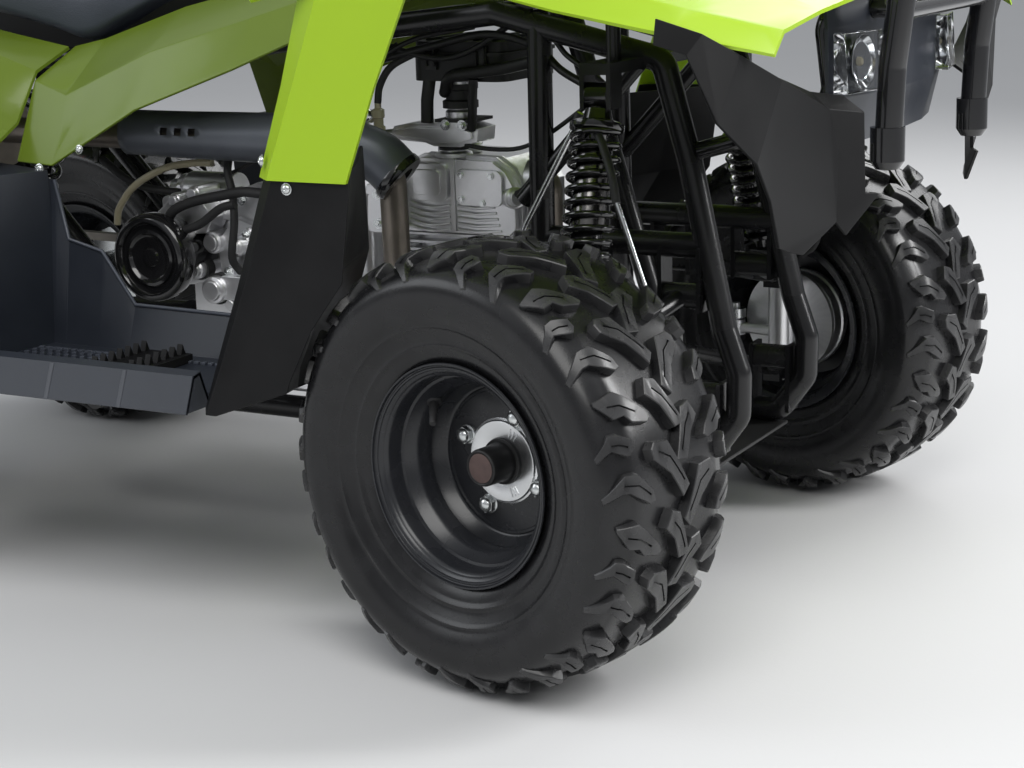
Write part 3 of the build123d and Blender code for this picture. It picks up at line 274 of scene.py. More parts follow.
CHAIN_STEEL = finish("chain_steel", (0.27, 0.25, 0.22), 0.38, metal=1.0, grain=(1.0, 0.04), shade=0.3)
CAP_END = finish("cap_end", (0.075, 0.045, 0.040), 0.55, grain=(1.5, 0.12), shade=0.35, shade_mm=8)
CLEAR_HOSE = finish("clear_hose", (0.42, 0.38, 0.26), 0.20, shade=0.1, coat=0.3)
SHIELD_GREY = finish("shield_grey", (0.105, 0.115, 0.135), 0.38, metal=0.35, grain=(1.4, 0.05), shade=0.16)
DARK_CHROME = finish("dark_chrome", (0.16, 0.155, 0.15), 0.20, metal=1.0, grain=(3.0, 0.01), shade=0.2)
REFLECTOR = finish("reflector", (0.75, 0.76, 0.78), 0.12, metal=1.0, shade=0.05)
LAMP_CLEAR = clear_finish("lamp_clear", (0.93, 0.95, 0.97), 0.05)
RED_LENS = clear_finish("red_lens", (0.55, 0.012, 0.010), 0.10)
PALE_FLOOR = finish("pale_floor", (0.66, 0.66, 0.66), 0.85, grain=(6.0, 0.1), shade=0.02,
                    shade_mm=900, specular=0.2)

# A slot name for each finish, looked up for a piece that names no other
SLOTS = {
    TYRE_RUBBER: "tyre", RIM_PAINT: "rim_paint", GRIP_RUBBER: "grip_rubber", SEAT_VINYL: "seat_vinyl",
    CAST_ALLOY: "cast_aluminium", TURNED_ALLOY: "cast_aluminium", ZINC: "zinc_steel",
    REFLECTOR: "zinc_steel", CLEAR_HOSE: "zinc_steel", GLOSS_BLACK: "black_gloss",
    DARK_CHROME: "black_gloss", BLACK_PLASTIC: "black_plastic", MATT_BLACK: "black_plastic",
    CAP_END: "black_plastic", GREY_PLASTIC: "grey_plastic", GREY_PAINTED_HIGHLIGHT: "grey_plastic",
    SHIELD_GREY: "grey_plastic",
}


# Mesh building

BEVEL_ANGLE = 30.0    # edges sharper than this are softened


class Shape:
    """Points and faces in millimetres, gathered until they become one mesh."""

    def __init__(self):
        self.points = []
        self.faces = []

    def add(self, points, faces, at=None):
        first = len(self.points)
        self.points += [at @ Vector(p) for p in points] if at else [Vector(p) for p in points]
        self.faces += [tuple(first + i for i in face) for face in faces]
        return self

    def lathe(self, profile, at=None, segments=64, closed=False):
        """Turns (radius, height) points about the local Z axis."""
        rings, points, faces = [], [], []
        for r, z in profile:
            count = segments if r else 1
            rings.append(range(len(points), len(points) + count))
            points += [(r * cos(tau * i / segments), r * sin(tau * i / segments), z) for i in range(count)]
        for a, b in zip(rings, rings[1:] + (rings[:1] if closed else [])):
            for i in range(segments):
                j = (i + 1) % segments
                face = dict.fromkeys((a[i % len(a)], a[j % len(a)], b[j % len(b)], b[i % len(b)]))
                if len(face) > 2:
                    faces.append(tuple(face))
        return self.add(points, faces, at)

    def turned(self, profile, place, direction, segments):
        """A solid turned about a direction, closed to its axis at both ends."""
        low = [(0, profile[0][1])]
        high = [(0, profile[-1][1])] if profile[-1][0] else []
        return self.lathe(low + profile + high, axes(place, direction), segments)

    def ring(self, place, direction, radii, span, segments):
        """A plain ring between two radii and two heights along a direction."""
        (r, big), (low, high) = radii, span
        return self.lathe([(r, low), (big, low), (big, high), (r, high)], axes(place, direction),
                          segments, closed=True)

    def skin(self, rings, at=None):
        """A closed surface over rings with as many points each, capped at both ends."""
        n, last = len(rings[0]), len(rings) - 1
        caps = [tuple(range(n))[::-1], tuple(range(last * n, last * n + n))]
        return self.add([p for ring in rings for p in ring], caps + bands(n, last), at)

    def tube(self, path, radius, sides=12):
        """A round tube along a list of points."""
        path = [Vector(p) for p in path]
        across = None
        rings = []
        for i, p in enumerate(path):
            ahead = (path[min(i + 1, len(path) - 1)] - path[max(i - 1, 0)]).normalized()
            if across is None:
                across = ahead.orthogonal().normalized()
            across = (across - ahead * across.dot(ahead)).normalized()
            other = ahead.cross(across)
            rings.append([p + (across * cos(a) + other * sin(a)) * radius
                          for a in (tau * k / sides for k in range(sides))])
        return self.skin(rings)

    def hoses(self, rows, per_span=6):
        """Smooth tubes from rows of (points, radius, sides)."""
        for line, radius, sides in rows:
            self.tube(smooth_path(line, per_span), radius, sides)
        return self

    def prism(self, outline, low, high, at=None):
        """A flat outline of (x, y) points, raised from low to high along the local Z axis."""
        return self.skin([[(x, y, z) for x, y in outline] for z in (low, high)], at)

    def box(self, low, high, at=None):
        x, y, z = zip(low, high)
        return self.prism([(x[0], y[0]), (x[1], y[0]), (x[1], y[1]), (x[0], y[1])], z[0], z[1], at)

    def slab(self, outline, left, right):
        """An outline of (x, z) points between two places along y, raised towards the right."""
        return self.prism(outline, -left, -right, axes((0, 0, 0), TO_RIGHT))


def bands(n, count, first=0):
    """The faces of so many bands that join rings of n points, from a first point on."""
    return [(a + i, a + (i + 1) % n, a + n + (i + 1) % n, a + n + i)
            for a in range(first, first + count * n, n) for i in range(n)]


def axes(origin, z_axis, x_hint=TO_FRONT):
    """A place whose local Z points along z_axis and local X near x_hint."""
    z = Vector(z_axis).normalized()
    x = Vector(x_hint)
    x = x - z * x.dot(z)
    if x.length < 1e-6:
        x = z.orthogonal()
    x.normalize()
    return from_columns(x, z.cross(x), z, origin)


def smooth_path(points, per_span=6):
    """Points on a smooth curve through the given ones."""
    pts = [Vector(p) for p in points]
    pts = [pts[0] * 2 - pts[1]] + pts + [pts[-1] * 2 - pts[-2]]
    out = []
    for a, b, c, d in zip(pts, pts[1:], pts[2:], pts[3:]):
        for k in range(per_span):
            t = k / per_span
            out.append(0.5 * ((2 * b) + (c - a) * t + (2 * a - 5 * b + 4 * c - d) * t * t
                              + (3 * b - a - 3 * c + d) * t * t * t))
    out.append(pts[-2])
    return out


def piece(name, shape, material, body="root", place=None, bevel=0.0, smooth=35.0, replaces=(), thick=0.0,
          slot=None):
    """Makes one object of a shape, in metres, that rides on a body."""
    mesh = bpy.data.meshes.new(name)
    mesh.from_pydata([tuple(p * MM) for p in shape.points], [], shape.faces)
    mesh.materials.append(material)
    mesh.validate()
    work = bmesh.new()
    work.from_mesh(mesh)
    bmesh.ops.recalc_face_normals(work, faces=work.faces)
    work.to_mesh(mesh)
    work.free()
    mesh.shade_smooth()
    mesh.set_sharp_from_angle(angle=radians(smooth))
    thing = bpy.data.objects.new(name, mesh)
    if place:
        thing.matrix_world = place
    bpy.context.scene.collection.objects.link(thing)
    modify = thing.modifiers.new
    if thick:
        with_settings(modify("wall", "SOLIDIFY"), thickness=thick * MM, offset=0.0)
    if bevel:
        with_settings(modify("edges", "BEVEL"), width=bevel * MM, segments=2, limit_method="ANGLE",
                      angle_limit=radians(BEVEL_ANGLE), harden_normals=True)
    slot = slot or SLOTS[material]
    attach(thing, body)
    if replaces:
        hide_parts(*replaces)
    return thing


def dress(name, material, bevel=0.0, crease=12.0):
    """Gives a CAD node its material, and softens its edges sharper than the crease angle."""
    thing = NODES[name]
    thing.data.materials.clear()
    thing.data.materials.append(material)
    if bevel:
        modify = thing.modifiers.new
        with_settings(modify("weld", "WELD"), merge_threshold=0.02 * MM)
        with_settings(modify("planar", "DECIMATE"), decimate_type="DISSOLVE", angle_limit=radians(1.0))
        with_settings(modify("edges", "BEVEL"), width=bevel * MM, segments=3, limit_method="ANGLE",
                      angle_limit=radians(crease))
        with_settings(modify("normals", "WEIGHTED_NORMAL"), keep_sharp=False)


# Wheels: local X is forward, local Z is outboard, angles run from forward to the top

def wheel_place(pos_m, axis, side):
    out = Vector(axis).normalized() * side
    ahead = Vector((out.y, -out.x, 0)) * side
    return axes(pos_m, out, ahead)


def wheel_places():
    """Name, side, body, place, tyre width and rim width of the four wheels."""
    rows = []
    for side, name in SIDES.items():
        joint = JOINTS[f"front_wheel_{name}_spin"]
        rows.append((f"front_{name}", side, f"front_wheel_{name}",
                     wheel_place(joint["pos_m"], joint["axis"], side), FRONT_TYRE_W, FRONT_RIM_W))
    joint = JOINTS["rear_axle_spin"]
    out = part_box("rear_tyres")[1].y - REAR_TYRE_W / 2 * MM
    for side, name in SIDES.items():
        spot = Vector(joint["pos_m"]) + Vector((0, side * out, 0))
        rows.append((f"rear_{name}", side, "rear_axle",
                     wheel_place(spot, joint["axis"], side), REAR_TYRE_W, REAR_RIM_W))
    return rows


LUG_H, LUG_LOW = 10.0, 1.6
FADE_FROM, FADE_TO = 70.0, 108.0   # along the section, where the lugs get lower
SLIT_DEPTH = 2.2
LUG_GROUPS = 11
GROUP_START = 62.0
MIRROR_SHIFT = 8.2         # degrees between the two halves of the tread
DEGREE = TYRE_R * pi / 180  # millimetres along the tread in one degree

# Tread blocks of one group: (degrees along the tread, mm across it) outline, then its slit
TREAD = {
    "shoulder": ([(0, 91), (1, 70), (-1, 59), (-5.5, 40), (-7.5, 35.5), (-8.5, 41), (-7.5, 60),
                  (-5.5, 66.5), (-5.5, 78), (-1, 91)], [(-2.3, 80), (-2.8, 68), (-5.4, 52)]),
    "hook": ([(-9, 89), (-9, 81), (-11, 67), (-13.5, 66.5), (-15, 71.5), (-14.5, 77.4), (-13, 88),
              (-13.5, 92), (-15.5, 104.4), (-14, 106), (-10.5, 93)],
             [(-11.6, 87), (-11.8, 80), (-12.8, 72)]),
    "long_hook": ([(-19.5, 81), (-19.5, 67.5), (-24, 50), (-27, 47), (-27.5, 54), (-25.5, 67.5),
                   (-24, 77), (-24, 84), (-26.5, 103.5), (-25, 105), (-22, 92)],
                  [(-21.8, 82), (-22.3, 68), (-25.2, 54)]),
    "bar": ([(-13.5, 40), (-14, 20), (-26, -4), (-28.5, 6), (-22, 22.7), (-17.5, 44), (-15, 45.4)],
            [(-16, 36), (-18, 21), (-24.5, 4)]),
    "low_bar": ([(-31, 23.7), (-32, 11), (-44, -11), (-44.5, 4.5), (-38.5, 17), (-35, 31.6)],
                [(-34, 20), (-36.5, 10), (-42, -2)]),
}


# The tyre's outer form: (share of the half width, drop from the tread), then (past the rim, radius)
TYRE_CROWN = [(0, 0), (0.35, 0.6), (0.63, 2.2), (0.78, 7), (0.905, 18), (0.98, 31), (1, 44), (0.97, 61),
              (0.905, 76)]
TYRE_BEAD = [(4, 136), (0.5, 124), (-3, 116), (-8, 108)]


def tyre_section(width, rim_w):
    """Outer half section over the lugs, from the mid-plane to the bead: (across, radius)."""
    half, r = width / 2, TYRE_R
    knots = [(half * wide, r - drop) for wide, drop in TYRE_CROWN]
    knots += [(rim_w / 2 + out, rr) for out, rr in TYRE_BEAD]
    section = []
    length = 0.0
    for p in smooth_path([(a, rr, 0) for a, rr in knots], 6):
        if section:
            length += hypot(p.x - section[-1][0], p.y - section[-1][1])
        section.append((p.x, p.y, length))
    rows = []
    for i, (a, rr, t) in enumerate(section):
        b, c = section[max(i - 1, 0)], section[min(i + 1, len(section) - 1)]
        da, dr = c[0] - b[0], c[1] - b[1]
        size = hypot(da, dr)
        rows.append((t, a, rr, -dr / size, da / size))
    rows[0] = (0.0, 0.0, r, 0.0, 1.0)
    return rows


def on_section(rows, t):
    """Across, radius and outward normal at a distance t along the section."""
    sign = -1 if t < 0 else 1
    t = abs(t)
    for low, high in zip(rows, rows[1:]):
        if high[0] >= t:
            break
    f = min(max((t - low[0]) / (high[0] - low[0]), 0.0), 1.0)
    a, r, na, nr = (low[k] + (high[k] - low[k]) * f for k in (1, 2, 3, 4))
    return a * sign, r, na * sign, nr


def lug_height(t, scale):
    """Full over the tread, fading down the shoulder."""
    fade = min(max((abs(t) / scale - FADE_FROM) / (FADE_TO - FADE_FROM), 0.0), 1.0)
    return LUG_LOW + (LUG_H - LUG_LOW) * (1 - fade * fade * (3 - 2 * fade))


def grown(outline, by):
    """The same closed outline, moved outward (negative: inward) by a distance."""
    n = len(outline)
    area = sum(outline[i - 1][0] * outline[i][1] - outline[i][0] * outline[i - 1][1] for i in range(n))
    turn = 1 if area > 0 else -1
    moved = []
    for i in range(n):
        (x0, y0), (x1, y1), (x2, y2) = outline[i - 1], outline[i], outline[(i + 1) % n]
        n1 = Vector((y1 - y0, x0 - x1)).normalized() * turn
        n2 = Vector((y2 - y1, x1 - x2)).normalized() * turn
        mean = n1 + n2
        step = mean * (by / max(mean.dot(n1), 0.5))
        moved.append((x1 + step.x, y1 + step.y))
    return moved


def finer(outline, longest):
    dense = []
    for i, (x, y) in enumerate(outline):
        x2, y2 = outline[(i + 1) % len(outline)]
        count = max(1, round(hypot(x2 - x, y2 - y) / longest))
        dense += [(x + (x2 - x) * k / count, y + (y2 - y) * k / count) for k in range(count)]
    return dense


def slit_outline(line, half):
    """A narrow closed outline round a line."""
    left, right = [], []
    for i, (x, y) in enumerate(line):
        x0, y0 = line[max(i - 1, 0)]
        x1, y1 = line[min(i + 1, len(line) - 1)]
        size = hypot(x1 - x0, y1 - y0)
        dx, dy = (y1 - y0) / size * half, (x1 - x0) / size * half
        left.append((x - dx, y + dy))
        right.append((x + dx, y - dy))
    return left + right[::-1]


def add_lug(shape, outline, slit, rows, scale, spin):
    """One tread block: drafted sides, softened top edge and a thin slit in its top."""
    def spot(u, t, sink):
        a, r, na, nr = on_section(rows, t)
        angle = spin * u / TYRE_R
        a, r = a - na * sink, r - nr * sink
        return (r * cos(angle), r * sin(angle), a)

    side = finer(outline, 8.0)
    top, hole = grown(side, -0.9), finer(slit, 8.0)
    n, m = len(side), len(hole)
    points = [spot(u, t, lug_height(t, scale) + 1.5) for u, t in grown(side, 1.6)]
    for ring, sink in ((side, 0.9), (top, 0.0), (hole, 0.0), (hole, SLIT_DEPTH)):
        points += [spot(u, t, sink) for u, t in ring]
    faces = bands(n, 2) + bands(m, 1, 3 * n)
    for first, loops in ((2 * n, (top, hole)), (3 * n + m, (hole,))):
        loops = [[Vector((u, t, 0)) for u, t in loop] for loop in loops]
        faces += [tuple(first + k for k in tri) for tri in tessellate_polygon(loops)]
    shape.add(points, faces)


def tyre_shape(width, rim_w, spin):
    shape = Shape()
    rows = tyre_section(width, rim_w)
    scale = width / FRONT_TYRE_W
    half = []
    for t, a, r, na, nr in rows:
        ribs = 1.6 * exp(-((r - 131) / 2.2) ** 2) + 0.9 * exp(-((r - 150) / 1.2) ** 2)
        sink = lug_height(t, scale) if t / scale < FADE_TO else LUG_LOW
        sink -= ribs
        half.append((r - nr * sink, a - na * sink))
    section = half[::-1] + [(r, -a) for r, a in half[1:]]
    inner = [(102.0, rim_w / 2 * hand - hand * step) for hand, step in ((-1, 9), (-1, 26), (1, 26), (1, 9))]
    shape.lathe(section + inner, segments=168, closed=True)
    for group in range(LUG_GROUPS):
        start = GROUP_START + group * 360.0 / LUG_GROUPS
        for hand, shift in ((1, 0.0), (-1, MIRROR_SHIFT)):
            for outline, slit in TREAD.values():
                placed = [((start - shift + d) * DEGREE, hand * t * scale) for d, t in outline]
                cut = slit_outline([((start - shift + d) * DEGREE, hand * t * scale) for d, t in slit], 0.9)
                add_lug(shape, placed, cut, rows, scale, spin)
    return shape


# The rim's section: (radius, distance in from its edge), and its centre: (radius, place along the axle)
RIM_SEAT = [(104.5, 5), (101.6, 9), (101.4, 24), (99.5, 26), (91, 36), (88, 40)]
RIM_BACK = [(109.8, 1.2), (106, 4.2), (101, 6), (98.5, 10), (97.8, 23), (96, 27), (88, 37), (85, 41)]
RIM_DISH = [(85, -16), (82, -12), (79, -3), (60, -2.5), (43, -2.5), (43, 0.6), (71.5, 0.6), (72.6, 2.4),
            (75.0, 2.4), (76.2, 0.4), (77.6, 0.6), (79.0, 2.0), (86.0, 10.5), (88.0, 14.0), (87.2, 15.8),
            (84.8, 16.6)]
RIM_FRONT = [(84.8, 42), (88, 38), (93.5, 30.5), (94.6, 28.6), (97.4, 27.6), (98.2, 25.8), (98.8, 12),
             (101.4, 8.4), (104.6, 6.8), (106.4, 4.6), (107.0, 3.0), (108.6, 2.6), (109.6, 3.4),
             (110.6, 3.0), (111.4, 1.4)]


def rim_shape(rim_w):
    """Pressed steel rim: rolled lips, bead seats, drop well and welded dished centre."""
    half = rim_w / 2
    f = RIM_FLANGE_R
    lip = [(f - 2.2, half - 0.2), (f - 0.6, half), (f, half - 1.4), (f - 0.8, half - 2.8)]
    outside = lip + [(r, half - a) for r, a in RIM_SEAT]
    back = [(r, a - half) for r, a in RIM_BACK]
    front = [(r, half - a) for r, a in RIM_FRONT]
    mirrored = [(r, -a) for r, a in outside[::-1]]
    shape = Shape()
    shape.lathe(outside + mirrored + back + RIM_DISH + front, segments=120, closed=True)
    return shape


def hexagon(r):
    return [(r * cos(tau * k / 6), r * sin(tau * k / 6)) for k in range(6)]


def wheel_nut(shape, at, r=9.2, height=13.0):
    shape.prism(hexagon(r), 0.0, height * 0.62, at)
    shape.lathe([(r * 1.12, 0.0), (r * 1.12, 1.6), (r * 0.9, 2.2)], at, 24)
    dome = [(r * 0.84 * cos(a), height * 0.60 + height * 0.40 * sin(a)) for a in
            [pi / 2 * k / 5 for k in range(5)]] + [(0.0, height)]
    shape.lathe(dome, at, 24)


def dress_wheel(name, side, body, place, tyre_w, rim_w):
    spin = 1 if side == RIGHT else -1
    front = name.startswith("front")
    tyre_node, rim_node = (f"front_{part}_{SIDES[side]}" if front else f"rear_{part}s"
                           for part in ("tyre", "rim"))
    on_wheel = {"body": body, "place": place}
    piece(f"tyre_{name}", tyre_shape(tyre_w, rim_w, spin), TYRE_RUBBER, smooth=30,
          replaces=[tyre_node], **on_wheel)
    piece(f"rim_{name}", rim_shape(rim_w), RIM_PAINT, smooth=40, replaces=[rim_node],
          **on_wheel)

    flange = Shape()
    flange.lathe([(44.5, 0.7), (44.5, 1.6), (42.0, 2.2), (42.0, 4.2), (41.2, 5.0), (24.0, 5.0), (22.6, 4.2),
                  (21.0, 4.2), (20.4, 6.2), (0.0, 6.2)], segments=96)
    for middle in FLANGE_MARKS:
        for step in (-7.0, 0.0, 7.0):
            turn = Matrix.Rotation(spin * radians(middle + step), 4, "Z")
            flange.box((28.0, -0.7, 4.8), (37.5, 0.7, 5.8), turn)
    if front:
        drum = Shape()
        drum.lathe([(22, -10), (60, -9), (62, -12), (62, -18), (65, -20), (65, -26), (62, -28), (62, -40),
                    (65, -42), (65, -48), (22, -48)], segments=72)
        drum.lathe([(12.6, -46), (22, -46), (22, -5), (44, -4), (44, -2.6), (12.6, -2.6)], segments=48)
        piece(f"drum_{name}", drum, CAST_ALLOY, bevel=0.6, **on_wheel)
    piece(f"hub_flange_{name}", flange, TURNED_ALLOY, bevel=0.4,
          replaces=[f"front_hub_{SIDES[side]}"] if front else (), **on_wheel)

    cap, end = Shape(), Shape()
    cap.lathe([(23.4, 4.6), (23.4, 6.6), (21.2, 7.4), (20.2, 9.0), (CAP_R, 12), (CAP_R - 0.3, CAP_OUT - 4),
               (CAP_R - 1.0, CAP_OUT - 1.4), (CAP_R - 2.6, CAP_OUT - 0.2), (CAP_R - 3.6, CAP_OUT - 0.6),
               (CAP_R - 4.2, CAP_OUT - 1.2), (0, CAP_OUT - 1.2)], segments=72)
    piece(f"hub_cap_{name}", cap, BLACK_PLASTIC, **on_wheel)
    end.lathe([(CAP_R - 4.4, CAP_OUT - 1.0), (CAP_R - 6.0, CAP_OUT - 0.5), (0, CAP_OUT - 0.4)], segments=48)
    piece(f"hub_cap_end_{name}", end, CAP_END, **on_wheel)

    nuts = Shape()
    for k in range(4):
        a = spin * radians(NUT_ANGLE + 90.0 * k)
        spot = Matrix.Translation((NUT_CIRCLE_R * cos(a), NUT_CIRCLE_R * sin(a), 0.6))
        wheel_nut(nuts, spot @ Matrix.Rotation(a + 0.3 * k, 4, "Z"))
    piece(f"wheel_nuts_{name}", nuts, ZINC, bevel=0.5, **on_wheel)

    valve = Shape()
    a = spin * radians(VALVE_ANGLE)
    at = axes((VALVE_R * cos(a), VALVE_R * sin(a), 34.0), (-cos(a) * 0.75, -sin(a) * 0.75, 0.66))
    valve.lathe([(0, -3), (8.5, -3), (8.5, 0), (5.0, 3), (4.2, 16), (3.6, 22), (3.6, 30), (3.0, 31.5),
                 (0, 31.5)], at, 24)
    piece(f"valve_{name}", valve, GRIP_RUBBER, **on_wheel)


# Suspension

def helix(low, top, start, stop, radius, coils, per_coil=28):
    """Points of a spring wound about the line from low to top."""
    at = axes(low, Vector(top) - Vector(low))
    steps = coils * per_coil
    return [at @ Vector((radius * cos(tau * i / per_coil), radius * sin(tau * i / per_coil),
                         start + (stop - start) * i / steps)) for i in range(steps + 1)]


def dress_shock(name, low, top, spring_r, wire, coils, across, replaces):
    """Damper, spring seats, preload rings and a wound spring."""
    low, top = Vector(low), Vector(top)
    long = (top - low).length
    at = axes(low, top - low)
    damper = Shape()
    damper.lathe([(0, 12), (9, 12), (9, 24), (17, 27), (17, 31), (spring_r + 2, 31), (spring_r + 3, 33),
                  (spring_r + 3, 36), (19, 37.5), (18, 40), (18, 44), (16.5, 45), (16.5, long * 0.46),
                  (15, long * 0.47), (12, long * 0.475), (12, long - 44), (13, long - 42), (15, long - 40),
                  (spring_r + 1, long - 38), (spring_r + 2, long - 36), (spring_r + 2, long - 31),
                  (spring_r - 2, long - 29), (16, long - 27), (14, long - 16), (9, long - 12),
                  (0, long - 12)], at, 48)
    for z in (47.0, 50.2, 53.4, 56.6, 59.8):
        damper.lathe([(16.4, z), (18.6, z + 0.4), (18.6, z + 1.6), (16.4, z + 2.0)], at, 48)
    piece(f"{name}_damper", damper, GLOSS_BLACK, smooth=40, replaces=replaces)
    sleeve = [(14, long * 0.44), (18.4, long * 0.44), (18.6, long * 0.45), (18.6, long - 52),
              (17.6, long - 50), (14, long - 50)]
    piece(f"{name}_sleeve", Shape().lathe(sleeve, at, 48, closed=True), DARK_CHROME, smooth=40)
    eyes = Shape()
    for p in (low, top):
        eyes.ring(p - Vector(across) * 13, across, (6.4, 13.5), (0, 26), 32)
    piece(f"{name}_eyes", eyes, GLOSS_BLACK, bevel=0.8)
    wound = helix(low, top, 39, long - 39, spring_r - wire * 0.6, coils)
    piece(f"{name}_spring", Shape().tube(wound, wire), GLOSS_BLACK, smooth=60)


def bolt(shape, place, direction, r, height, washer):
    at = axes(place, direction)
    shape.lathe([(0, 0), (r * 1.45, 0), (r * 1.45, washer), (r * 0.9, washer)], at, 28)
    shape.prism(hexagon(r), washer * 0.8, washer + height, at)
    end = washer + height
    shape.lathe([(r * 0.62, end - 0.2), (r * 0.62, end + 1.2), (0, end + 1.4)], at, 20)


def button_screw(shape, place, direction, r):
    """A domed panel screw with a round recess."""
    at = axes(place, direction)
    shape.lathe([(r * 1.25, 0), (r * 1.25, 0.8), (r, 1.0), (r * 0.93, 2.2), (r * 0.7, 3.2), (r * 0.4, 3.6),
                 (r * 0.34, 2.2), (0, 2.2)], at, 24)


# Front guards: the right one's corners, (x, y, z)

FLARE = {
    "A": (703, -489, 668), "B": (746, -489, 655), "C": (730, -487, 638), "D": (700, -487, 646),
    "R1": (752, -420, 632), "R2": (761, -340, 603), "N": (770, -236, 566), "M": (790, -190, 559),
    "U1": (722, -430, 640), "U2": (738, -340, 612), "U3": (750, -236, 582), "U4": (768, -190, 574),
    "E": (737, -436, 573), "F": (757, -392, 532), "G": (755, -352, 492), "H": (749, -315, 442),
    "I": (753, -296, 435), "J": (760, -280, 430), "K": (775, -228, 455), "O": (776, -226, 529),
    "L": (792, -190, 480), "P": (802, -176, 478), "Q": (780, -212, 440),
}
FLARE_FACES = ("A B C D", "A U1 R1 B", "U1 U2 R2 R1", "U2 U3 N R2", "U3 U4 M N", "B R1 E C", "R1 R2 F E",
               "R2 G F", "R2 N O K H G", "K J I H", "N M L O", "O L K", "K L P Q")


def dress_flares():
    names = list(FLARE)
    for side, word in SIDES.items():
        shape = Shape().add([(x, -side * y, z) for x, y, z in FLARE.values()],
                            [tuple(names.index(k) for k in face.split()) for face in FLARE_FACES])
        piece(f"flare_{word}", shape, MATT_BLACK, smooth=12, thick=4.0, bevel=1.4, replaces=["front_flares"])


# Seat: stations along the cushion, (x, half width, low, high)

SEAT = [(-642, 104, 684, 734), (-630, 122, 674, 750), (-560, 134, 668, 754), (-450, 138, 660, 744),
        (-340, 140, 640, 722), (-280, 140, 626, 710), (-228, 139, 614, 704), (-170, 137, 638, 708),
        (-120, 132, 661, 716), (-40, 121, 684, 740), (40, 108, 705, 768), (110, 92, 727, 792),
        (146, 80, 739, 800), (155, 62, 746, 797)]
SEAT_ROUND = 72                       # points round one section
SEAT_CROWN = 7.0
SEAT_CHANNELS = (-520, -395, -60)     # where sewn channels cross the top


def seat_section(half, low, high):
    """Closed loop of (y, z): a crowned top, full sides and a flatter underside."""
    middle = low + (high - low) * 0.42
    loop = []
    for k in range(SEAT_ROUND):
        c, d = cos(tau * k / SEAT_ROUND), sin(tau * k / SEAT_ROUND)
        y = half * (1 if c > 0 else -1) * abs(c) ** 0.52
        if d > 0:
            z = middle + (high - middle) * d ** 0.62 + SEAT_CROWN * (1 - (y / half) ** 2)
        else:
            z = middle - (middle - low) * abs(d) ** 0.34
        loop.append((y, z))
    return loop


def dress_seat():
    stations = smooth_path([Vector((x, half, low)) for x, half, low, _ in SEAT], 7)
    tops = smooth_path([Vector((x, 0, high)) for x, _, _, high in SEAT], 7)
    rings = []
    for p, q in zip(stations, tops):
        pull = sum(2.6 * exp(-((p.x - x) / 3.2) ** 2) for x in SEAT_CHANNELS)
        rings.append([(p.x, y, z) for y, z in seat_section(p.y - pull * 0.6, p.z, q.z - pull)])
    pad = piece("seat_cushion", Shape().skin(rings), SEAT_VINYL, smooth=60, replaces=["seat"])
    piping = Shape()
    for side in SIDES:
        line = []
        for p, q in zip(stations[4:-3], tops[4:-3]):
            y, z = seat_section(p.y, p.z, q.z)[6]
            line.append((p.x, side * (y + 0.6), z + 0.4))
        piping.tube(line, 2.4, 8)
    piece("seat_piping", piping, BLACK_PLASTIC, smooth=60, slot="seat_vinyl")


# Engine

def round_box(x, z, r, steps=5):
    """Outline of a rectangle in x and z with round corners."""
    loop = []
    for cx, cz, first in ((x[1] - r, z[1] - r, 0), (x[0] + r, z[1] - r, 1), (x[0] + r, z[0] + r, 2),
                          (x[1] - r, z[0] + r, 3)):
        for k in range(steps + 1):
            a = (first + k / steps) * pi / 2
            loop.append((cx + r * cos(a), cz + r * sin(a)))
    return loop


FINS, FIN_PITCH, FIN_T, FIN_FOOT = 10, 9.6, 3.4, 301.0
HEAD = [(170, 392), (322, 392), (330, 400), (330, 446), (318, 466), (300, 478), (206, 480), (184, 470),
        (168, 450), (164, 400)]


def dress_top_end():
    """Cylinder with its fins, and the head with covers, cap, outlet and cast ribs."""
    barrel = Shape()
    for k in range(FINS):
        z = FIN_FOOT + k * FIN_PITCH
        barrel.prism(round_box((156.0, 326.0), (-66.0, 66.0), 22.0), z, z + FIN_T)
    barrel.prism(round_box((180.0, 304.0), (-47.0, 47.0), 18.0), 300.4, 392.0)
    piece("cylinder_fins", barrel, CAST_ALLOY, bevel=0.7, replaces=["cylinder"])

    head = Shape()
    head.slab(HEAD, 62, -66)
    for y in (-38, -52):
        head.slab(grown(HEAD, 4.0), y, y - 4)
    head.slab(round_box((192, 244), (430, 474), 9), -66, -74)
    head.slab(round_box((199, 237), (437, 467), 7), -74, -77)
    head.slab(round_box((254, 316), (426, 468), 9), -66, -71)
    for k in range(5):
        z = 396 + 7 * k
        head.tube(smooth_path([(186 + k, -66, z + 3), (218, -70, z - 2), (244, -67, z + 1)], 5), 2.0, 8)
        head.tube([(254, -67, z + 1), (280, -69, z - 1), (312 - k * 2, -66, z + 1)], 2.0, 8)
    head.box((246, -69, 394), (252, -60, 480))
    head.turned([(27, 0), (27, 10), (24, 13), (0, 14)], (222, 0, 480), UPWARD, 48)
    head.ring((330, -20, 452), TO_FRONT, (14, 27), (0, 9), 40)
    piece("head_casting", head, CAST_ALLOY, bevel=1.4, replaces=["cylinder_head"])


INLET = [(168, 506), (178, 500), (214, 498), (226, 494), (262, 494), (284, 500), (286, 516), (262, 522),
         (196, 521), (172, 516)]
INLET_HOSES = [    # points, radius, sides
    ([(168, -96, 546), (172, -96, 566), (186, -92, 588), (214, -80, 604)], 4.4, 12),
    ([(157, -104, 548), (158, -104, 566), (170, -102, 592), (196, -90, 612)], 5.0, 12),
    ([(261, -66, 498), (300, -74, 494), (346, -80, 497), (392, -96, 516), (440, -98, 548)], 2.6, 10),
    ([(330, -70, 440), (352, -84, 450), (372, -92, 470), (392, -96, 496)], 4.0, 12)]


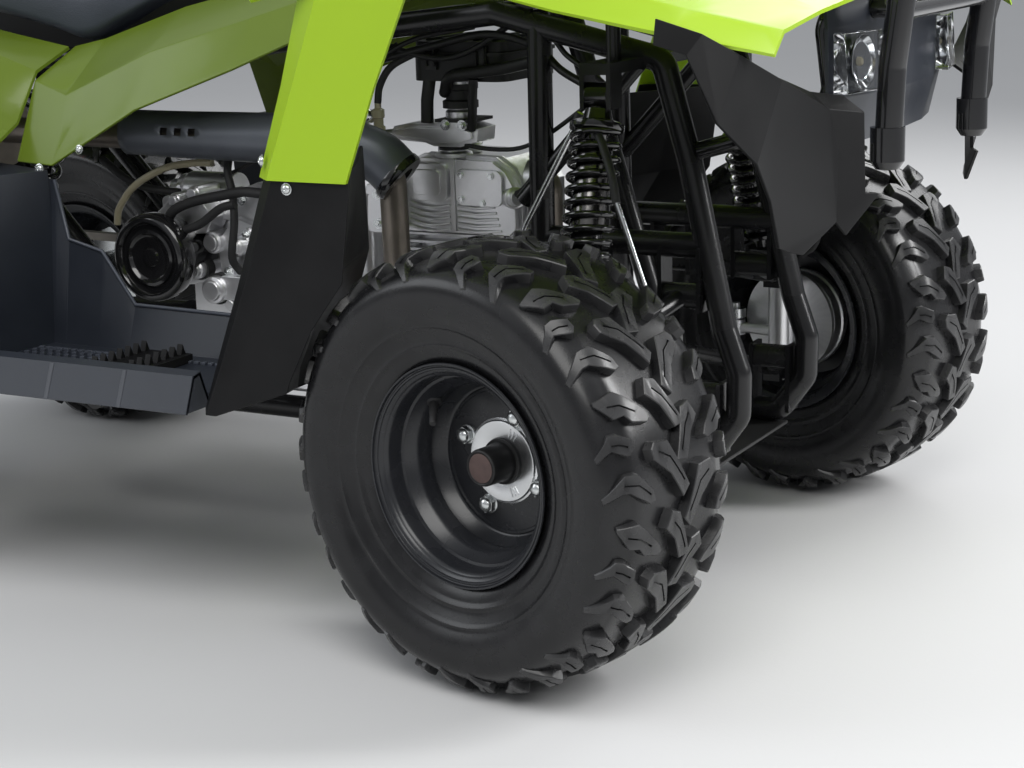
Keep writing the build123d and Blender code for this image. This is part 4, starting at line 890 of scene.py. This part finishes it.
def dress_inlet():
    """Throttle body with its clamps, rubbers, fuel fitting and filter cap."""
    inlet = Shape()
    inlet.turned([(22, 0), (22, 5), (16, 7), (15, 14), (16, 24)], (241, -48, 480), UPWARD, 40)
    inlet.slab(INLET, -26, -70)
    inlet.slab(grown(INLET, -5.0), -70, -75)
    inlet.turned([(4.5, 0), (4.5, 22)], (170, -60, 508), (-1, 0, -0.12), 20)
    inlet.box((238, -74, 516), (276, -66, 524))
    inlet.turned([(18, 0), (18, 8), (15, 10), (15, 34), (19, 36), (19, 44)], (252, -48, 526), UPWARD, 40)
    piece("inlet_elbow", inlet, CAST_ALLOY, bevel=1.2, replaces=["intake"])

    rubber = Shape()
    rubber.ring((241, -48, 489), UPWARD, (15.6, 17.6), (0, 4), 36)
    rubber.box((232, -75, 523), (280, -22, 526.5))
    rubber.lathe([(15.4, 0), (21, 0), (21, 8), (17, 10), (17, 20), (21, 22), (21, 28), (15.4, 28)],
                 axes((252, -48, 538), UPWARD), 36, closed=True)
    rubber.tube([(220, -72, 522), (221, -72, 548), (224, -70, 572)], 7.5, 16)
    rubber.hoses(INLET_HOSES, 5)
    piece("inlet_rubber", rubber, GRIP_RUBBER, smooth=50)

    fitting, cap = Shape(), Shape()
    fitting.turned([(5.5, 0), (5.5, 6), (8, 7), (8, 16), (6, 18), (6, 26), (7.6, 27), (7.6, 36), (4, 38),
                    (4, 46)], (168, -96, 502), UPWARD, 24)
    piece("fuel_fitting", fitting, CLEAR_HOSE, smooth=40)
    cap.turned([(8.5, 0), (8.5, 10), (6.5, 13), (0, 13.5)], (157, -98, 530), (0, -0.9, 0.2), 28)
    piece("filter_cap", cap, REFLECTOR, smooth=40)


CASTING_SLABS = [    # outline, its left and right face
    (round_box((150, 186), (394, 452), 7), -58, -104),
    (round_box((-152, -104), (396, 424), 6), -78, -104),
    (round_box((-96, -56), (402, 436), 6), -60, -94),
    ([(-62, 398), (-50, 430), (-8, 446), (34, 440), (60, 420), (60, 398)], -84, -102),
    ([(-156, 396), (-124, 424), (-76, 426), (-58, 404), (-70, 384), (-110, 380)], -92, -126),
    ([(-70, 296), (-12, 292), (8, 330), (2, 392), (-34, 404), (-64, 372), (-58, 330)], -92, -114),
    (round_box((-42, -6), (306, 336), 5), -114, -142)]
CASTING_TURNED = [    # profile, foot, direction, sides
    ([(12, 0), (12, 60), (10, 84), (10, 116), (12, 118)], (143, -96, 322), (0.04, 0, 1), 32),
    ([(24, 0), (24, 70), (20, 76), (20, 84), (13, 86), (13, 100)], (-60, -66, 428), TO_BACK, 40),
    ([(17, 0), (17, 12), (14, 15)], (300, -84, 300), TO_RIGHT, 36),
    ([(13, 0), (13, 14), (9, 16), (9, 26)], (322, -58, 436), (0.7, -0.7, 0.1), 30)]
BOSS_FOOT_Y = -90
BOSSES = [(-50, 318, 17, 62), (-86, 338, 11, 46), (-79, 434, 10, 50), (-112, 424, 9, 46),
          (-18, 372, 12, 56), (-66, 372, 14, 36), (-30, 300, 9, 52)]    # x, z, radius, length
BOSS_COLLARS = [(-50, 318, (17.2, 19.4), (34, 46), 32), (-86, 338, (11.2, 13.6), (18, 32), 28)]
BOLTS = [(290, -67.5, 430), (302, -67.5, 462), (262, -67.5, 462), (262, -67.5, 434), (208, -70, 455),
         (228, -70, 455), (246, -74.5, 520), (268, -74.5, 520), (-137, -104.5, 412), (-118, -104.5, 412),
         (-76, -94.5, 420), (26, -103, 430), (-30, -103, 424), (168, -104.5, 440), (168, -104.5, 405)]
COVER_BOLTS, COVER_BOLT_R = 7, 64.0


def dress_castings():
    """Bosses, pads and the starter motor on the engine's right side, and their bolts."""
    casting = Shape()
    for row in CASTING_TURNED:
        casting.turned(*row)
    for row in CASTING_SLABS:
        casting.slab(*row)
    for x, z, r, out in BOSSES:
        casting.turned([(r, 0), (r, out - 6), (r * 0.72, out - 4), (r * 0.72, out)], (x, BOSS_FOOT_Y, z),
                       TO_RIGHT, 32)
    piece("engine_castings", casting, CAST_ALLOY, bevel=1.4)

    bolts = Shape()
    for place in BOLTS:
        bolt(bolts, place, TO_RIGHT, 4.4, 4.0, 1.2)
    for k in range(COVER_BOLTS):
        a = radians(20 + k * 360 / COVER_BOLTS)
        place = (25 + COVER_BOLT_R * cos(a), -127.2, 332 + COVER_BOLT_R * sin(a))
        bolt(bolts, place, TO_RIGHT, 4.2, 3.6, 1.0)
    piece("engine_bolts", bolts, ZINC, smooth=40)


ENGINE_HOSES = [
    ([(-122, -118, 372), (-115, -140, 390), (-102, -150, 412), (-72, -150, 426), (-27, -150, 436),
      (7, -150, 442), (40, -146, 440)], 6.2, 14),
    ([(-120, -120, 366), (-110, -146, 384), (-85, -150, 391), (-58, -150, 401), (-29, -150, 420),
      (-6, -150, 427)], 5.4, 12),
    ([(-19, -140, 478), (-17, -146, 463), (-11, -147, 438), (-11, -147, 403), (-18, -146, 361),
      (-20, -128, 340)], 5.0, 12),
    ([(-34, -136, 458), (-10, -132, 466), (26, -128, 482), (70, -124, 486)], 2.2, 10),
    ([(-230, -120, 470), (-190, -126, 448), (-160, -120, 436), (-120, -108, 430)], 5.0, 12)]
VENT_HOSE = [([(-196, -140, 392), (-189, -142, 413), (-162, -142, 442), (-114, -142, 465), (-70, -142, 473),
               (-42, -142, 474)], 4.6, 12)]
BRAKE_HOSES = [
    ([(500, 205, 545), (522, 224, 520), (538, 238, 492), (546, 245, 466)], 4.6, 12),
    ([(579, 245, 374), (584, 248, 358), (576, 256, 342), (560, 262, 330)], 4.6, 12)]
LOOM = [
    ([(238, -60, 556), (263, -88, 577), (300, -92, 583), (345, -92, 590), (383, -94, 602), (392, -98, 630)],
     7.0, 14),
    ([(161, -90, 593), (242, -92, 612), (316, -94, 626), (377, -96, 613), (412, -102, 588),
      (450, -114, 572), (480, -140, 562)], 4.6, 14),
    ([(150, -90, 628), (199, -90, 638), (274, -92, 644), (334, -94, 648), (393, -96, 627),
      (420, -102, 604), (456, -114, 586), (486, -142, 576)], 3.2, 14),
    ([(160, -92, 622), (195, -92, 608), (249, -92, 598), (291, -92, 607), (337, -92, 632),
      (372, -92, 655)], 3.6, 14),
    ([(150, -100, 560), (164, -100, 585), (190, -98, 606), (230, -96, 622), (300, -96, 634)], 3.0, 14),
    ([(290, -84, 574), (288, -83, 552), (284, -78, 530), (278, -70, 516)], 5.5, 14)]


def dress_hoses():
    """Engine and vent hoses, brake rods with their hoses, and the wiring loom."""
    hoses = Shape()
    hoses.hoses(ENGINE_HOSES)
    for x, z, radii, span, sides in BOSS_COLLARS:
        hoses.ring((x, BOSS_FOOT_Y, z), TO_RIGHT, radii, span, sides)
    piece("engine_hoses", hoses, GRIP_RUBBER, smooth=50)
    piece("vent_hose", Shape().hoses(VENT_HOSE), CLEAR_HOSE, smooth=50)

    rods, rubber = Shape(), Shape()
    rods.tube([(452, -136, 545), (443, -135, 527), (381, -135, 419), (374, -134, 404)], 3.4)
    rubber.box((396, -136, 448), (404, -120, 458))
    rubber.turned([(5.4, 0), (5.4, 20)], (443, -135, 527), (0.5, 0, 1), 20)
    for side in SIDES:
        rods.tube([(545, side * 245, 470), (580, side * 245, 371)], 3.2)
        rubber.hoses([([(x, side * y, z) for x, y, z in line], r, sides) for line, r, sides in BRAKE_HOSES])
    piece("brake_rods", rods, TURNED_ALLOY, smooth=50, slot="zinc_steel")
    piece("brake_hoses", rubber, GRIP_RUBBER, smooth=50)
    piece("wiring_loom", Shape().hoses(LOOM, 8), BLACK_PLASTIC, smooth=50)


AIR_BOX = [((203, 327), (-77, 57), 16, 570.6, 600), ((200.5, 329.5), (-79.5, 59.5), 18, 600, 604),
           ((204, 326), (-76, 56), 16, 604, 616)]    # x, y, corner radius, low, high


def dress_covers():
    """Air box with ribs and clips, and the round starter cover."""
    box = Shape()
    for x, y, r, low, high in AIR_BOX:
        box.prism(round_box(x, y, r), low, high)
    for k in range(5):
        box.prism(round_box((216 + k * 21, 222 + k * 21), (-64, 44), 2.5), 616, 619)
    for x in (226, 292):
        box.box((x, -81, 584), (x + 14, -76, 612))
        box.tube([(x + 2, -83, 588), (x + 2, -84, 610), (x + 12, -84, 610), (x + 12, -83, 588)], 1.5, 8)
    piece("air_box_shell", box, BLACK_PLASTIC, bevel=2.5, replaces=["air_box"])

    cover = Shape().turned([(46, 0), (46, 50), (50, 53), (54, 58), (54.6, 64), (54.6, 76), (53, 81),
                            (49, 84), (45, 84), (42.5, 81), (41, 77), (36, 76.5), (34.5, 79.5),
                            (31, 80.5), (28.5, 78), (26, 76), (12, 75.5), (10, 78.5), (0, 79)],
                           (-124, -92, 358), TO_RIGHT, 96)
    piece("starter_cover", cover, GLOSS_BLACK, smooth=40, replaces=["clutch_cover"])


SHIELD_LINE = [(216, -136, 470), (196, -140, 488), (160, -147, 501), (100, -153, 507), (20, -160, 509),
               (-60, -165, 510), (-140, -172, 512)]
SHIELD_R = 30.0
SHIELD_ROUND = 18    # faces round the half shell
SHIELD_SLOTS = [(i, k + more) for i, k in ((12, 7), (16, 7), (38, 8), (40, 8), (42, 8)) for more in (0, 1)]


def dress_heat_shield():
    """A slotted half shell that follows the exhaust pipe, with a dark ring at its front end."""
    line = smooth_path(SHIELD_LINE, 8)
    points, faces = [], []
    for i, p in enumerate(line):
        ahead = (line[min(i + 1, len(line) - 1)] - line[max(i - 1, 0)]).normalized()
        out = Vector(TO_RIGHT)
        out = (out - ahead * out.dot(ahead)).normalized()
        up = ahead.cross(out)
        up = up if up.z > 0 else -up
        radius = SHIELD_R - 7.0 * max(0.0, (i - len(line) * 0.45) / len(line))
        for k in range(SHIELD_ROUND + 1):
            a = radians(-72 + 172 * k / SHIELD_ROUND)
            points.append(p + (out * cos(a) + up * sin(a)) * radius)
        for k in range(SHIELD_ROUND if i else 0):
            if (i, k) not in SHIELD_SLOTS:
                a, b = (i - 1) * (SHIELD_ROUND + 1) + k, i * (SHIELD_ROUND + 1) + k
                faces.append((a, a + 1, b + 1, b))
    piece("heat_shield_shell", Shape().add(points, faces), SHIELD_GREY, smooth=50,
          thick=1.6, replaces=["heat_shield"])
    first = Vector(SHIELD_LINE[0])
    at = axes(first + Vector((3, 0.5, -5)), Vector(SHIELD_LINE[1]) - first)
    end = [(17, -3), (31, -3), (32.5, 0), (32.5, 6), (31, 9), (17, 9)]
    piece("shield_ring", Shape().lathe(end, at, 48, closed=True), GLOSS_BLACK, smooth=40)


# Footwells, lamps, muffler end and seat base

SCREWS = [((-208, 260.5, 476), (0, 1, 0.12), 5.0), ((258, 458.5, 526), (-0.7, 0.7, 0.05), 5.5),
          ((290, 464.4, 500), (0, 1, 0), 5.0), ((-150, 254.6, 500), (0, 1, 0.2), 4.5)]
FLOOR_Z = 266.2
PEG_X, PEG_HALF = -10, 46
FOOTWELL_EDGES = [
    [(-196, 250, 462), (-181, 250, 391), (-131, 250, 379), (-86, 250, 317), (148, 250, 313)],
    [(-294, 440, 478), (-232, 440, 476), (-206, 256, 470)], [(-232, 440, 475), (-226, 440, 268)]]
SKIRT_RIB = ((470.8, 256.5), (455, 294.6), (450, 294), (466, 256.5))
SKIRT_END = ((469, 257), (453, 295), (440, 297), (428, 266), (428, 257))


def dress_footwells():
    """Panel screws, studs on the floor, beads along the edges and ribs under the skirt."""
    screws, studs, beads, ribs = Shape(), Shape(), Shape(), Shape()
    for side in SIDES:
        for (x, y, z), (dx, dy, dz), r in SCREWS:
            button_screw(screws, (x, side * y, z), (dx, side * dy, dz), r)
        for i in range(34):
            for y in (-420, -300):
                studs.prism([(-3.2, -3.2), (3.2, -3.2), (3.2, 3.2), (-3.2, 3.2)], 0, 3.0,
                            Matrix.Translation((-192 + i * 10.0, -side * y, FLOOR_Z)))
        for x in range(-190, -46, 12):
            for y in range(-412, -286, 14):
                if abs(x - PEG_X) > PEG_HALF:
                    studs.prism([(-3.4, -2.2), (3.4, -2.2), (2.2, 2.2), (-2.2, 2.2)], 0, 3.4,
                                Matrix.Translation((x, -side * y, FLOOR_Z)))
        for line in FOOTWELL_EDGES:
            beads.tube([(x, side * y, z) for x, y, z in line], 2.4, 10)
        for outline, low, high in ((SKIRT_RIB, -43, -37), (SKIRT_RIB, 57, 63), (SKIRT_END, 147, 150)):
            ribs.skin([[(x, side * y, z) for y, z in outline] for x in (low, high)])
    piece("panel_screws", screws, ZINC, smooth=40)
    # Studs and beads take the lighter grey, a painted highlight along raised edges.
    piece("floor_studs", studs, GREY_PAINTED_HIGHLIGHT, bevel=0.5)
    piece("footwell_beads", beads, GREY_PAINTED_HIGHLIGHT, smooth=60)
    piece("skirt_ribs", ribs, GREY_PLASTIC, bevel=0.8)


LAMP = (764, 147, 605)    # centre of the left lamp's bowl
CAP_RIBS = 24
MUFFLER_END = (-650, -190, 512)


def dress_ends():
    """Lamp bowls, ribs round the fuel cap, the muffler's end and bands, and the seat's base."""
    bowls, bulbs = Shape(), Shape()
    for side in SIDES:
        centre = (LAMP[0], side * LAMP[1], LAMP[2])
        bowls.lathe([(5, -6), (12, -5), (20, -1), (27, 9), (28, 9), (21, -3), (12, -7.5), (5, -8)],
                    axes(centre, TO_FRONT), 48, closed=True)
        bulbs.turned([(4.6, -7), (4.6, 3), (3.2, 6), (0, 7)], centre, TO_FRONT, 24)
    piece("lamp_bowls", bowls, REFLECTOR, smooth=40)
    piece("lamp_bulbs", bulbs, CLEAR_HOSE, smooth=40)

    knurl = Shape()
    for k in range(CAP_RIBS):
        turn = Matrix.Translation((212, 0, 0)) @ Matrix.Rotation(tau * k / CAP_RIBS, 4, "Z")
        knurl.prism([(33, -2.2), (35.6, -1.4), (35.6, 1.4), (33, 2.2)], 797.5, 813.5, turn)
    piece("fuel_cap_ribs", knurl, BLACK_PLASTIC, bevel=0.6)

    tail, rivets = Shape(), Shape()
    x, y, z = MUFFLER_END
    at = axes(MUFFLER_END, TO_BACK)
    tail.lathe([(30, -1), (43.5, -1), (43.5, 2.5), (40.5, 5), (32, 5), (30, 3)], at, 64, closed=True)
    tail.lathe([(11, -1), (15, -1), (15, 15), (14, 17), (11, 17)], at, 40, closed=True)
    for back in (-292, -60):
        tail.ring(MUFFLER_END, TO_BACK, (45.5, 47.6), (back, back + 16), 72)
    piece("muffler_trim", tail, DARK_CHROME, bevel=0.4)
    for k in range(8):
        a = tau * k / 8
        button_screw(rivets, (x - 4.6, y + 36 * cos(a), z + 36 * sin(a)), TO_BACK, 3.0)
    piece("muffler_rivets", rivets, ZINC, smooth=40)

    rings = []
    for x, half, low, _ in SEAT[1:-1]:
        half = min(half - 26, 96)
        rings.append([(x, -half, low - 30), (x, half, low - 30), (x, half + 10, low + 6),
                      (x, -half - 10, low + 6)])
    piece("seat_base", Shape().skin(rings), BLACK_PLASTIC, bevel=3.0)


# Build

make_camera()
make_world()
make_floor(PALE_FLOOR)
area_light("key", (1.6, -2.6, 3.4), (0.1, 0, 0.4), (2.6, 2.6), 95, (1.0, 0.99, 0.97))
area_light("fill", (-2.8, -2.2, 2.2), (0, 0, 0.4), (2.2, 2.2), 36, (0.93, 0.96, 1.0))
area_light("back", (1.0, 3.2, 2.6), (0, 0, 0.5), (3.0, 1.6), 60)
area_light("rim", (2.9, 0.8, 1.8), (0.5, -0.4, 0.3), (0.5, 1.7), 58)

for row in wheel_places():
    dress_wheel(*row)

for side, word in SIDES.items():
    low, top = ((x, side * y, z) for x, y, z in (SHOCK_LOW, SHOCK_TOP))
    dress_shock(f"front_shock_{word}", low, top, 27.0, 3.6, 12, TO_FRONT, ["front_shocks"])
dress_shock("rear_shock_unit", REAR_SHOCK_LOW, REAR_SHOCK_TOP, 32.0, 5.5, 8, (0, 1, 0), ["rear_shock"])

for dress_part in (dress_flares, dress_seat, dress_top_end, dress_inlet, dress_castings, dress_hoses,
                   dress_covers, dress_heat_shield, dress_footwells, dress_ends):
    dress_part()

FLAT_FACED = {
    "front_fender": (LIME, 2.0, 30.0), "side_panels": (LIME_PAINTED_SHADE, 2.0, 20.0), "rear_fender": (LIME_PAINTED_SHADE, 2.0, 20.0),
    "mudguards": (MATT_BLACK, 2.0), "nose": (GREY_PLASTIC, 2.0),
    "footwells": (GREY_PLASTIC, 2.0), "foot_pegs": (MATT_BLACK, 0.8),
    "tail_lamp": (RED_LENS, 3.0), "skid_plate": (BLACK_PLASTIC, 1.0), "crankcase": (CAST_ALLOY, 1.5),
    "headlamps": (LAMP_CLEAR, 2.0),
}
ROUND_FACED = {
    FRAME_PAINT: "frame cross_members arm_brackets front_posts grab_bar lower_arms upper_arms swing_arm "
                 "stem handlebar",
    GLOSS_BLACK: "front_bumper", BLACK_PLASTIC: "fuel_cap levers", GRIP_RUBBER: "grips",
    EXHAUST_STEEL: "exhaust", CHAIN_STEEL: "drive_chain", PLATE_STEEL: "sprocket brake_disc",
    ZINC: "rear_axle tie_rod_right tie_rod_left", CAST_ALLOY: "knuckle_right knuckle_left",
}
for name, look in FLAT_FACED.items():
    dress(name, *look)
for material, names in ROUND_FACED.items():
    for name in names.split():
        dress(name, material)

bpy.context.scene.view_settings.view_transform = "Standard"
